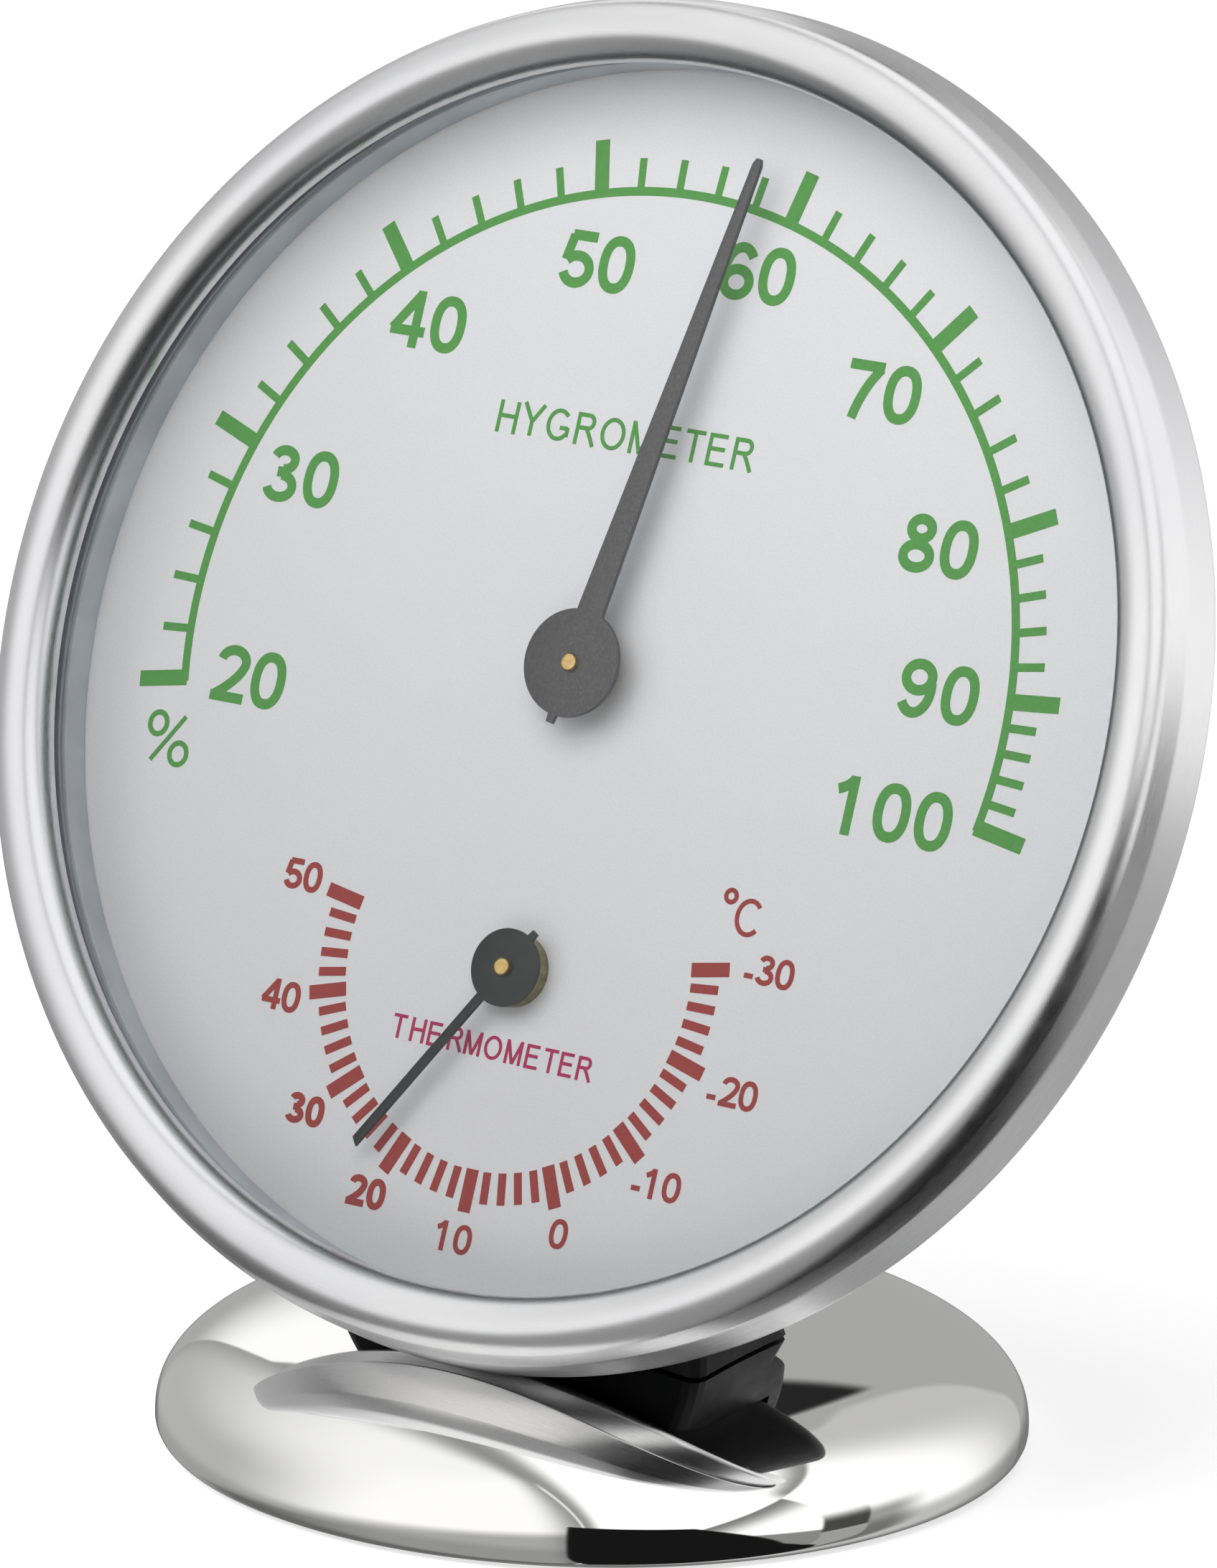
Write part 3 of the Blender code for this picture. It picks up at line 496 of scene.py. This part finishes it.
openings = [hole(4.4, *SPINDLE)]
openings += [hole(1.6, x, y) for x, y in COVER_SCREWS]
openings += [hole(1.7, x, y) for x, y in NECK_SCREWS]
for side in VENT_SIDES:
    for row in range(VENT_ROWS):
        y = (row - VENT_ROWS // 2) * VENT_PITCH + VENT_MIDDLE
        vent = arc((side + VENT_REACH, y), VENT_RADIUS, -90.0, 90.0, 10)
        vent += arc((side - VENT_REACH, y), VENT_RADIUS, 90.0, 270.0, 10)
        openings.append(prism(vent, CUT_REAR, CUT_FRONT))
# known fault: ten of these cutters leave a cap that stands 1 mm behind the cover
cover = carved(turned(cover_profile, COARSE), openings)
finish_mesh("rear_cover", cover, HEAD, BLACK, "root", "back_cover")

# ------------------------------------------------------------------ glyphs drawn as strokes

CURVE_STEPS = 22


def ellipse(cx, cy, rx, ry, start=0.0, end=360.0, steps=CURVE_STEPS):
    return arc((cx, cy), (rx, ry), start, end, steps)


def bend(start, middle, end, steps=10):
    """A quadratic curve."""
    points = []
    for step in range(steps + 1):
        t = step / steps
        point = (start[k] * (1 - t) ** 2 + 2 * middle[k] * t * (1 - t) + end[k] * t * t for k in (0, 1))
        points.append(tuple(point))
    return points


def oval(cx, cy, rx, ry, squareness=1.0):
    """A closed oval; squareness under 1 gives straighter sides."""
    points = []
    for step in range(36):
        angle = 2.0 * math.pi * step / 36
        c, s = math.cos(angle), math.sin(angle)
        c, s = math.copysign(abs(c) ** squareness, c), math.copysign(abs(s) ** squareness, s)
        points.append((cx + rx * c, cy + ry * s))
    return points + points[:1]


def glyph(sign, w):
    """Centre lines of a sign in a cell one unit high, for strokes of width w."""
    h = w / 2.0
    left, right, top = h, 0.70 - h, 1.0 - h
    if sign == "0":
        return [oval(0.35, 0.5, 0.35 - h, 0.5 - h, 0.88)]
    if sign == "1":
        return [[(0.42, 0.0), (0.42, 1.0)], bend((0.40, 0.93), (0.32, 0.81), (0.13, 0.745))]
    if sign == "2":
        curve = ellipse(0.355, 0.705, 0.345 - h, 0.295 - h, 172.0, -22.0)
        return [curve + bend(curve[-1], (0.50, 0.40), (0.09, h + 0.02))[1:], [(0.0, h), (0.69, h)]]
    if sign == "3":
        upper = ellipse(0.34, 0.745, 0.30 - h, 0.255 - h, 165.0, -90.0)
        lower = ellipse(0.34, 0.285, 0.35 - h, 0.285 - h, 90.0, -167.0)
        return [upper, lower, [(0.24, 0.53), (0.36, 0.53)]]
    if sign == "4":
        return [[(0.50, 0.0), (0.50, 1.0)], [(0.50, 0.94), (0.035, 0.295)], [(0.0, 0.29), (0.70, 0.29)]]
    if sign == "5":
        return [[(0.15, top), (0.65, top)], [(0.185, top), (0.10, 0.47)],
                ellipse(0.345, 0.325, 0.35 - h, 0.325 - h, 146.0, -163.0)]
    if sign == "6":
        return [oval(0.36, 0.31, 0.34 - h, 0.31 - h),
                ellipse(0.375, 0.50, 0.375 - h, 0.5 - h, 38.0, 196.0)]
    if sign == "7":
        return [[(0.02, top), (0.69, top)], bend((0.64, top - 0.02), (0.34, 0.52), (0.24, 0.0))]
    if sign == "8":
        return [oval(0.35, 0.745, 0.285 - h, 0.255 - h), oval(0.35, 0.285, 0.345 - h, 0.285 - h)]
    if sign == "9":
        return [[(0.70 - x, 1.0 - y) for x, y in line] for line in glyph("6", w)]
    if sign == "-":
        return [[(0.06, 0.36), (0.40, 0.36)]]
    if sign == "H":
        return [[(left, 0.0), (left, 1.0)], [(0.76 - h, 0.0), (0.76 - h, 1.0)],
                [(left, 0.53), (0.76 - h, 0.53)]]
    if sign == "Y":
        return [[(0.03, 1.0), (0.40, 0.45)], [(0.79, 1.0), (0.40, 0.43)], [(0.40, 0.47), (0.40, 0.0)]]
    if sign == "G":
        return [ellipse(0.46, 0.5, 0.46 - h, 0.5 - h, 42.0, 322.0, 34), [(0.52, 0.42), (0.88 - h, 0.42)],
                [(0.88 - h, 0.45), (0.88 - h, 0.16)]]
    if sign == "C":
        return [ellipse(0.44, 0.5, 0.44 - h, 0.5 - h, 42.0, 318.0, 34)]
    if sign == "R":
        bowl = [(left, top), (0.45, top)] + ellipse(0.45, 0.735, 0.26 - h, 0.265 - h, 90.0, -90.0, 14)
        bowl.append((left, 0.47 + h))
        return [[(left, 0.0), (left, 1.0)], bowl, bend((0.42, 0.50), (0.52, 0.40), (0.75, 0.0), 6)]
    if sign == "O":
        return [oval(0.46, 0.5, 0.46 - h, 0.5 - h)]
    if sign == "M":
        return [[(left, 0.0), (left, 1.0)], [(0.86 - h, 0.0), (0.86 - h, 1.0)], [(left, 0.98), (0.43, 0.03)],
                [(0.86 - h, 0.98), (0.43, 0.03)]]
    if sign == "E":
        return [[(left, 0.0), (left, 1.0)], [(left, top), (0.68, top)], [(left, 0.53), (0.64, 0.53)],
                [(left, h), (0.70, h)]]
    if sign == "T":
        return [[(0.36, 0.0), (0.36, 1.0)], [(0.0, top), (0.72, top)]]
    raise ValueError(sign)


DIGIT_WIDTH = 0.70
WIDTHS = {"H": 0.76, "Y": 0.80, "G": 0.90, "R": 0.78, "O": 0.92, "M": 0.86, "E": 0.72, "T": 0.72, "C": 0.86,
          "-": 0.46}
INK_HEIGHT = 0.035
TICK_RISE = 0.002  # ticks stand this much over the arc, so that no two faces share a plane
STROKE_RISE = 0.0012  # and so does each further stroke of a sign


class Ink:
    """Collects strokes and turns them into one thin printed layer; all lengths are millimetres."""

    def __init__(self):
        self.shape = bmesh.new()

    def ribbon(self, points, width, rise=0.0):
        """A strip of even width along points in millimetres; a closed line is joined end to end."""
        top = INK_HEIGHT + rise
        closed = len(points) > 2 and math.dist(points[0], points[-1]) < 1e-6
        line = [Vector(p) for p in (points[:-1] if closed else points)]
        count = len(line)
        sections = []
        for index, point in enumerate(line):
            before = line[index - 1] if closed or index else line[0]
            after = line[(index + 1) % count] if closed or index < count - 1 else line[-1]
            arriving, leaving = point - before, after - point
            into = arriving.normalized() if arriving.length > 1e-9 else leaving.normalized()
            out = leaving.normalized() if leaving.length > 1e-9 else into
            side = Vector((-(into + out).y, (into + out).x)).normalized()
            stretch = 1.0 / max(0.6, side.dot(Vector((-into.y, into.x))))
            offset = side * (width / 2.0 * stretch)
            near, far = point - offset, point + offset
            corners = [(near, 0.0), (far, 0.0), (far, top), (near, top)]
            sections.append([self.shape.verts.new((flat.x, flat.y, height)) for flat, height in corners])
        pairs = list(zip(sections, sections[1:]))
        if closed:
            pairs.append((sections[-1], sections[0]))
        for here, there in pairs:
            for corner in range(4):
                after = (corner + 1) % 4
                self.shape.faces.new((here[corner], here[after], there[after], there[corner]))
        if not closed:
            self.shape.faces.new(sections[0][::-1])
            self.shape.faces.new(sections[-1])

    def sign(self, sign, centre, height, weight, squeeze=1.0):
        """One sign, its middle at a point in millimetres; weight is its stroke over its height."""
        half = WIDTHS.get(sign, DIGIT_WIDTH) / 2.0
        for index, line in enumerate(glyph(sign, weight)):
            points = [(centre[0] + (x - half) * height * squeeze, centre[1] + (y - 0.5) * height)
                      for x, y in line]
            self.ribbon(points, weight * height, STROKE_RISE * index)

    def layer(self, name, matrix, material):
        finish_mesh(name, self.shape, matrix, material, "root", sharp=20.0)


# ------------------------------------------------------------------ printed scales

UNIT = 45.0  # inner radius of the humidity arc, the unit in which the dial is laid out
PRINT_LEAN = math.radians(1.05)  # the line through both spindles leans by this much


def on_dial(u, v):
    """A point given along the line of the two spindles, as (x, y) on the level dial, in millimetres."""
    c, s = math.cos(PRINT_LEAN), math.sin(PRINT_LEAN)
    return ((u * c + v * s) * UNIT, (v * c - u * s) * UNIT)


def add_tick(ink, angle, size, centre=(0.0, 0.0), rise=0.0):
    """A radial tick; size is its start, its end and its width in units."""
    start, end, width = size
    a = math.radians(angle)
    line = [(centre[0] + r * UNIT * math.cos(a), centre[1] + r * UNIT * math.sin(a)) for r in (start, end)]
    ink.ribbon(line, width * UNIT, rise)


def write(ink, signs, height, weight, squeeze=1.0):
    """Signs given as (sign, u, v), of a height in units; weight is the stroke over the height."""
    for sign, u, v in signs:
        ink.sign(sign, on_dial(u, v), height * UNIT, weight, squeeze)


HUMIDITY_ANGLES = [190.0, 160.0, 131.0, 103.0, 76.0, 50.0, 25.0, 5.0, -10.0]  # of 20, 30 ... 100 per cent
HUMIDITY_MAJOR = (1.004, 1.124, 0.034)
HUMIDITY_MINOR = (1.004, 1.080, 0.0175)
green = Ink()
arc_middle = (1.0 + 1.0187) / 2.0 * UNIT
green.ribbon(arc((0.0, 0.0), arc_middle, 190.4, -10.4, 200), 0.0187 * UNIT)
for angle, following in zip(HUMIDITY_ANGLES, HUMIDITY_ANGLES[1:] + [None]):
    add_tick(green, angle, HUMIDITY_MAJOR, rise=TICK_RISE)
    if following is None:
        continue
    for minor in range(1, 5):
        add_tick(green, angle + (following - angle) * minor / 5.0, HUMIDITY_MINOR, rise=TICK_RISE)

HUMIDITY_NUMERALS = {
    "20": ((-0.876, -0.165), (-0.779, -0.164)),
    "30": ((-0.868, 0.273), (-0.768, 0.276)),
    "40": ((-0.643, 0.648), (-0.544, 0.649)),
    "50": ((-0.263, 0.835), (-0.167, 0.837)),
    "60": ((0.129, 0.870), (0.225, 0.872)),
    "70": ((0.491, 0.675), (0.587, 0.678)),
    "80": ((0.707, 0.387), (0.804, 0.389)),
    "90": ((0.784, 0.096), (0.886, 0.098)),
    "100": ((0.684, -0.166), (0.793, -0.163), (0.893, -0.163)),
}
for text, places in HUMIDITY_NUMERALS.items():
    write(green, [(sign, *place) for sign, place in zip(text, places)], 0.123, 0.178)
for place in ((-1.029, -0.300), (-0.962, -0.356)):
    middle = on_dial(*place)
    green.ribbon(oval(*middle, 0.0215 * UNIT, 0.0235 * UNIT), 0.0115 * UNIT)
green.ribbon([on_dial(-1.029, -0.380), on_dial(-0.963, -0.275)], 0.0105 * UNIT)

HUMIDITY_TITLE = [
    ("H", -0.343, 0.482), ("Y", -0.282, 0.486), ("G", -0.215, 0.486), ("R", -0.146, 0.487),
    ("O", -0.078, 0.488), ("M", -0.006, 0.490), ("E", 0.063, 0.494), ("T", 0.123, 0.495),
    ("E", 0.181, 0.496), ("R", 0.246, 0.497),
]
write(green, HUMIDITY_TITLE, 0.069, 0.130, 0.95)
green.layer("humidity_print", placed(HYGRO_POINT), GREEN_INK)

TEMPERATURE_MAJOR = (0.421, 0.512, 0.030)
TEMPERATURE_MINOR = (0.423, 0.490, 0.019)
red = Ink()
apart = THERMO_POINT - HYGRO_POINT
small_centre = (apart.dot(RIGHT) / MM, apart.dot(UP) / MM)
for index in range(41):
    size = TEMPERATURE_MAJOR if index % 5 == 0 else TEMPERATURE_MINOR
    add_tick(red, 10.0 - 5.0 * index, size, small_centre)
LIGHT_NUMERALS = [
    ("-", 0.550, -0.541), ("3", 0.588, -0.532), ("0", 0.635, -0.532), ("-", 0.530, -0.799),
    ("2", 0.571, -0.790), ("0", 0.617, -0.790), ("-", 0.404, -1.016), ("1", 0.438, -1.009),
    ("0", 0.489, -1.008), ("0", 0.249, -1.154), ("1", -0.029, -1.213), ("0", 0.024, -1.213),
]
write(red, LIGHT_NUMERALS, 0.063, 0.175)
HEAVY_NUMERALS = [("20", -0.235, -1.164, 0.225), ("30", -0.432, -1.027, 0.225), ("40", -0.558, -0.805, 0.19),
                  ("50", -0.575, -0.549, 0.19)]
for (first, second), u, v, weight in HEAVY_NUMERALS:
    write(red, [(first, u - 0.0245, v), (second, u + 0.0245, v)], 0.066, weight)
degree = on_dial(0.4665, -0.398)
red.ribbon(oval(*degree, 0.0125 * UNIT, 0.0125 * UNIT), 0.010 * UNIT)
red.sign("C", on_dial(0.519, -0.434), 0.080 * UNIT, 0.125, 0.95)
red.layer("temperature_print", placed(HYGRO_POINT), RED_INK)

crimson = Ink()
THERMO_TITLE = [("T", -0.252), ("H", -0.204), ("E", -0.161), ("R", -0.108), ("M", -0.0635), ("O", -0.013),
                ("M", 0.039), ("E", 0.086), ("T", 0.131), ("E", 0.172), ("R", 0.217)]
write(crimson, [(sign, u, -0.8115) for sign, u in THERMO_TITLE], 0.051, 0.140, 0.92)
crimson.layer("thermometer_title", placed(HYGRO_POINT), CRIMSON_INK)

# ------------------------------------------------------------------ pointers


def pointer_outline(hub_radius, root_half, tip, tail_half, tail_reach):
    """A blade from its tip to a round hub with a short tail; the halves are half widths at the hub."""
    root = math.degrees(math.asin(root_half / hub_radius))
    tail = math.degrees(math.asin(tail_half / hub_radius))
    outline = list(tip)
    outline += arc((0.0, 0.0), hub_radius, root, 180.0 - tail, 40)
    outline += [(-tail_reach, tail_half * 0.8), (-tail_reach, -tail_half * 0.8)]
    outline += arc((0.0, 0.0), hub_radius, 180.0 + tail, 360.0 - root, 40)
    return outline


def spindle(name, matrix, body, radius, bottom, top, node):
    crown = [(radius, top - 0.22)] + arc((radius - 0.2, top - 0.22), 0.2, 0.0, 90.0, 5)
    profile = [(0.0, bottom), (radius, bottom)] + crown + [(0.0, top)]
    finish_mesh(name, turned(profile, 64), matrix, BRASS, body, node)


HYGRO_TIP = [(49.35, -0.48), (49.95, -0.24), (50.0, 0.0), (49.95, 0.24), (49.35, 0.48)]
hygro_shape = prism(pointer_outline(5.15, 1.45, HYGRO_TIP, 0.45, 5.95), 2.9, 3.4, 0.10)
finish_mesh("humidity_hand", hygro_shape, placed(HYGRO_POINT, HYGRO_READING), POINTER_GREY, "hygrometer_hand",
            "hygrometer_pointer")
spindle("humidity_arbor", placed(HYGRO_POINT), "hygrometer_hand", 0.875, -11.2, 3.9, "hygrometer_spindle")
THERMO_TIP = [(22.2, -0.45), (22.6, 0.45)]
thermo_shape = prism(pointer_outline(3.7, 0.45, THERMO_TIP, 0.4, 4.45), 1.9, 2.3, 0.06)
finish_mesh("temperature_hand", thermo_shape, placed(THERMO_POINT, THERMO_READING), POINTER_BLACK,
            "thermometer_hand", "thermometer_pointer")
spindle("temperature_arbor", placed(THERMO_POINT), "thermometer_hand", 0.85, -9.8, 3.0, "thermometer_spindle")

boss = [(0.95, -4.4), (5.0, -4.4), (5.0, -3.2), (2.4, -3.2), (2.4, 0.02), (3.4, 0.02), (3.45, 0.07),
        (3.45, 1.5), (3.38, 1.6), (0.95, 1.6)]
finish_mesh("temperature_boss", turned(boss, 96), placed(THERMO_POINT), OLIVE, "root", "thermometer_bush")

# ------------------------------------------------------------------ foot

FOOT_RADIUS = 41.5
FOOT_TOP = 14.0
WIDEST = 1.6  # height at which the foot is widest
SQUARENESS = 0.8
FOOT_SHEET = 1.2
BOLT_HOLE = 2.3


def dome_curve(offset, steps):
    """From the widest point towards the top, this far outside the outer face."""
    reach, rise = FOOT_RADIUS + offset, FOOT_TOP + offset - WIDEST
    points = []
    for step in range(steps):
        angle = 0.5 * math.pi * step / steps
        points.append((reach * math.cos(angle) ** SQUARENESS, WIDEST + rise * math.sin(angle) ** SQUARENESS))
    return points


dome = [(BOLT_HOLE, FOOT_TOP - 0.02)] + dome_curve(0.0, 120)[::-1]
dome += [(41.44, 1.25), (41.27, 0.9), (40.95, 0.55), (40.55, 0.35), (40.3, 0.3), (39.2, 0.3), (39.1, 0.45)]
dome += dome_curve(-FOOT_SHEET, 30) + [(BOLT_HOLE, FOOT_TOP - FOOT_SHEET - 0.02)]
finish_mesh("foot_shell", turned(dome, 360), WORLD, CHROME, "root", "base_dome", 50.0)

# ------------------------------------------------------------------ carried-over nodes

CARRIED = {
    "hygrometer_bush": BRASS, "hygroscopic_coil": FILM, "calibration_arm": BRASS, "calibration_screw": BRASS,
    "coil_bridge": ZINC, "bridge_screw_1": ZINC, "bridge_screw_2": ZINC, "thermometer_coil": BIMETAL,
    "thermometer_post": BRASS, "neck": BLACK, "neck_screw_1": ZINC, "neck_screw_2": ZINC,
    "cover_screw_1": ZINC, "cover_screw_2": ZINC, "cover_screw_3": ZINC, "base_plate": ZINC,
    "ballast_disc": IRON, "base_bolt": ZINC, "foot_pad_1": RUBBER, "foot_pad_2": RUBBER,
    "foot_pad_3": RUBBER, "foot_pad_4": RUBBER,
}
for name, material in CARRIED.items():
    mesh = nodes[name].data
    mesh.materials.clear()
    mesh.materials.append(material)

# ------------------------------------------------------------------ camera

PHOTO_HEIGHT = 2184.0  # pixels
FOCAL_LENGTH = 14000.0  # pixels
SENSOR_HEIGHT = 36.0  # millimetres
VIEW_RIGHT = Vector((0.82786, 0.56059, 0.01974))
VIEW_UP = Vector((-0.15906, 0.20085, 0.96662))
VIEW_BACK = Vector((0.53791, -0.80337, 0.25545))
VIEW_POINT = Vector((0.50560, -0.75448, 0.30350))

camera_data = bpy.data.cameras.new("camera")
camera_data.sensor_fit = "VERTICAL"
camera_data.sensor_height = SENSOR_HEIGHT
camera_data.lens = SENSOR_HEIGHT * FOCAL_LENGTH / PHOTO_HEIGHT
camera = bpy.data.objects.new("camera", camera_data)
bpy.context.scene.collection.objects.link(camera)
view_axes = Matrix((VIEW_RIGHT, VIEW_UP, VIEW_BACK)).transposed().to_4x4()
camera.matrix_world = Matrix.Translation(VIEW_POINT) @ view_axes
bpy.context.scene.camera = camera

# ------------------------------------------------------------------ studio

bpy.context.scene.view_settings.view_transform = "Standard"
DISPLAY_GAMMA = 2.2
REFLECTION_GAIN = 1.10
AMBIENT = 0.25  # the studio's even light on matt surfaces
FLOOR_GLOW = 0.58  # keeps the floor as pale as the photo's ground
FLOOR_REACH = 8.0


class Field:
    """A value in the studio's node tree that can be reckoned with like a number."""

    tree = None

    def __init__(self, socket):
        self.socket = socket

    @classmethod
    def math(cls, operation, *values):
        node = cls.tree.nodes.new("ShaderNodeMath")
        node.operation = operation
        for slot, value in zip(node.inputs, values):
            if isinstance(value, Field):
                cls.tree.links.new(value.socket, slot)
            else:
                slot.default_value = value
        return cls(node.outputs["Value"])

    def __add__(self, other):
        return Field.math("ADD", self, other)

    def __sub__(self, other):
        return Field.math("SUBTRACT", self, other)

    def __rsub__(self, other):
        return Field.math("SUBTRACT", other, self)

    def __mul__(self, other):
        return Field.math("MULTIPLY", self, other)

    def __truediv__(self, other):
        return Field.math("DIVIDE", self, other)

    __radd__ = __add__
    __rmul__ = __mul__

    def smooth(self, start, end):
        """0 up to start, 1 from end on, with a soft step between; start may lie above end."""
        node = self.tree.nodes.new("ShaderNodeMapRange")
        node.interpolation_type = "SMOOTHSTEP"
        node.inputs["From Min"].default_value = start
        node.inputs["From Max"].default_value = end
        self.tree.links.new(self.socket, node.inputs["Value"])
        return Field(node.outputs["Result"])

    def mix(self, other, share):
        """This value where share is 0, the other where it is 1."""
        return self + (other - self) * share


LEFT_SEAM = (-0.773, -0.632, -0.060, 0.091)  # a plane that cuts the sky along the seam: normal, distance
RIGHT_SEAM = (-0.335, -0.700, 0.631, 0.156)


def studio_reflections(tree):
    """What polished metal sees: large diffusers with soft seams between them, and a dark gap at the front.

    Azimuth is 0 at the front and 90 to the right, turned_azimuth is 0 at the back, both in degrees. Values
    are grey levels as displayed, from 0 to 1.
    """
    Field.tree = tree
    split = tree.nodes.new("ShaderNodeSeparateXYZ")
    tree.links.new(tree.nodes.new("ShaderNodeTexCoord").outputs["Generated"], split.inputs["Vector"])
    x, y, z = (Field(split.outputs[axis]) for axis in "XYZ")
    degrees = 180.0 / math.pi
    azimuth = Field.math("ARCTAN2", x, 0.0 - y) * degrees
    turned_azimuth = Field.math("ARCTAN2", 0.0 - x, y) * degrees
    elevation = Field.math("ARCSINE", z) * degrees

    seam_left = x * LEFT_SEAM[0] + y * LEFT_SEAM[1] + z * LEFT_SEAM[2] - LEFT_SEAM[3]
    seam_right = x * RIGHT_SEAM[0] + y * RIGHT_SEAM[1] + z * RIGHT_SEAM[2] - RIGHT_SEAM[3]
    level_reach = Field.math("SQRT", 1.0 - z * z)

    # left diffuser: lighter upwards and to the front, darker at the seam and below a slanted horizon
    left = 0.68 + elevation.smooth(5.0, 62.0) * 0.27
    left = left.mix(0.985, azimuth.smooth(-80.0, -20.0))
    shade = (seam_left / (0.05 + level_reach * 0.22)).smooth(1.0, 0.0)
    left = left * (1.0 - 0.42 * shade * shade)
    horizon = elevation - azimuth * 0.3
    left = left * (1.0 - 0.35 * horizon.smooth(6.0, -9.0)) * (1.0 - 0.12 * elevation.smooth(-10.0, -19.0))

    # right diffuser: darker towards the back, with a step along a bent border
    right = 1.0 - 0.27 * turned_azimuth.smooth(-38.0, 2.0)
    border = 4.0 + 9.0 * elevation.smooth(12.0, 36.0) - 7.0 * elevation.smooth(40.0, 52.0)
    right = right * (1.0 - 0.13 * (turned_azimuth - border).smooth(-1.0, 1.5))
    right = right * (1.0 - 0.28 * elevation.smooth(-8.0, -18.0))
    # a bright strip, a dark window beside it, and a dark patch low at the right
    strip = turned_azimuth.smooth(28.0, 31.0) * elevation.smooth(2.0, 22.0) * elevation.smooth(36.0, 31.0)
    right = right.mix(0.98, strip)
    window = turned_azimuth.smooth(15.5, 17.5) * turned_azimuth.smooth(30.0, 28.0)
    right = right.mix(0.16, window * elevation.smooth(33.0, 36.0) * elevation.smooth(54.0, 50.0))
    beside = 0.40 * azimuth.smooth(109.0, 111.0) * azimuth.smooth(132.0, 117.0)
    right = right * (1.0 - beside * elevation.smooth(9.0, -5.0))
    patch = azimuth.smooth(94.0, 95.5) * azimuth.smooth(111.0, 109.5)
    right = right.mix(0.28, patch * elevation.smooth(12.0, -4.0) * elevation.smooth(-14.0, -12.5))
    right = right.mix(0.60, patch * elevation.smooth(-12.5, -14.0))
    # front corner of the right diffuser
    corner = 0.48 + 0.52 * seam_right.smooth(0.0, -0.28)
    corner = corner * (1.0 - 0.48 * (elevation + azimuth * 0.25).smooth(15.0, 13.0))
    right = corner.mix(right, turned_azimuth.smooth(-85.0, -83.5))

    # the diffuser between the seams
    middle = 0.56 + 0.46 * seam_right.smooth(0.0, 0.11) * azimuth.smooth(92.0, 104.0)
    middle = middle + 0.46 * azimuth.smooth(104.0, 92.0)
    middle = middle * (1.0 - 0.44 * seam_left.smooth(-0.080, -0.012))

    # the three put together, with a thin bright line along the left seam
    level = right.mix(middle, seam_right.smooth(-0.02, 0.0))
    back_half = turned_azimuth.smooth(-125.0, -124.0) * turned_azimuth.smooth(52.3, 51.7)
    on_left = seam_left.smooth(-0.012, 0.0) * (1.0 - back_half * elevation.smooth(68.0, 64.0))
    level = level.mix(left, on_left)
    line = seam_left.smooth(-0.005, 0.0) * seam_left.smooth(0.012, 0.006)
    level = level.mix(0.90, line * azimuth.smooth(-30.0, 10.0))

    # the dark gap at the front, where the camera stands
    gap = azimuth.smooth(27.5, 28.8) * (elevation + azimuth * 0.2).smooth(26.6, 25.6)
    gap = gap * (elevation + azimuth * 1.27).smooth(92.5, 90.0)
    level = level.mix(0.11, gap)
    return Field.math("POWER", level, DISPLAY_GAMMA) * REFLECTION_GAIN


def make_studio():
    """White to the camera, even light on matt surfaces, and the diffusers in anything glossy."""
    world = bpy.data.worlds.new("studio")
    bpy.context.scene.world = world
    world.use_nodes = True
    tree = world.node_tree
    background = tree.nodes["Background"]
    rays = tree.nodes.new("ShaderNodeLightPath")
    reflections = studio_reflections(tree)
    matt = Field(rays.outputs["Is Diffuse Ray"])
    seen = Field(rays.outputs["Is Camera Ray"])
    strength = reflections.mix(AMBIENT, matt).mix(1.0, seen)
    background.inputs["Color"].default_value = (1.0, 1.0, 1.0, 1.0)
    tree.links.new(strength.socket, background.inputs["Strength"])


make_studio()

floor_mesh = bpy.data.meshes.new("floor")
corners = [(x * FLOOR_REACH, y * FLOOR_REACH, 0) for x, y in ((-1, -1), (1, -1), (1, 1), (-1, 1))]
floor_mesh.from_pydata(corners, [], [(0, 1, 2, 3)])
floor = bpy.data.objects.new("floor", floor_mesh)
bpy.context.scene.collection.objects.link(floor)
floor_material = Nodes("pale_floor", (0.90, 0.90, 0.90), 0.8)
floor_material.set("Emission Color", (1.0, 1.0, 1.0, 1.0))
floor_material.set("Emission Strength", FLOOR_GLOW)
floor_material.vary_colour(floor_material.noise(3.0), (0.93, 0.93, 0.93), (0.95, 0.95, 0.95))
floor_mesh.materials.append(floor_material.material)
floor.visible_glossy = False


def direction(azimuth, elevation):
    a, e = math.radians(azimuth), math.radians(elevation)
    return Vector((math.sin(a) * math.cos(e), -math.cos(a) * math.cos(e), math.sin(e)))


def softbox(name, azimuth, elevation, distance, width, height, power, aim=(0.0, 0.0, 0.05)):
    """An oblong area light, this far from the origin, in watts; it stays out of reflections."""
    light = bpy.data.lights.new(name, "AREA")
    light.shape = "RECTANGLE"
    light.size = width
    light.size_y = height
    light.energy = power
    obj = bpy.data.objects.new(name, light)
    bpy.context.scene.collection.objects.link(obj)
    place = direction(azimuth, elevation) * distance
    obj.location = place
    obj.rotation_euler = (Vector(aim) - place).to_track_quat("-Z", "Y").to_euler()
    obj.visible_glossy = False
    obj.visible_camera = False


softbox("key_left", azimuth=-50.0, elevation=38.0, distance=1.2, width=0.8, height=0.8, power=3.0)
softbox("overhead", azimuth=20.0, elevation=80.0, distance=1.3, width=1.0, height=0.8, power=3.0)
softbox("near_right", azimuth=8.0, elevation=60.0, distance=0.26, width=0.20, height=0.20, power=0.37,
        aim=(0.0, 0.0, 0.10))
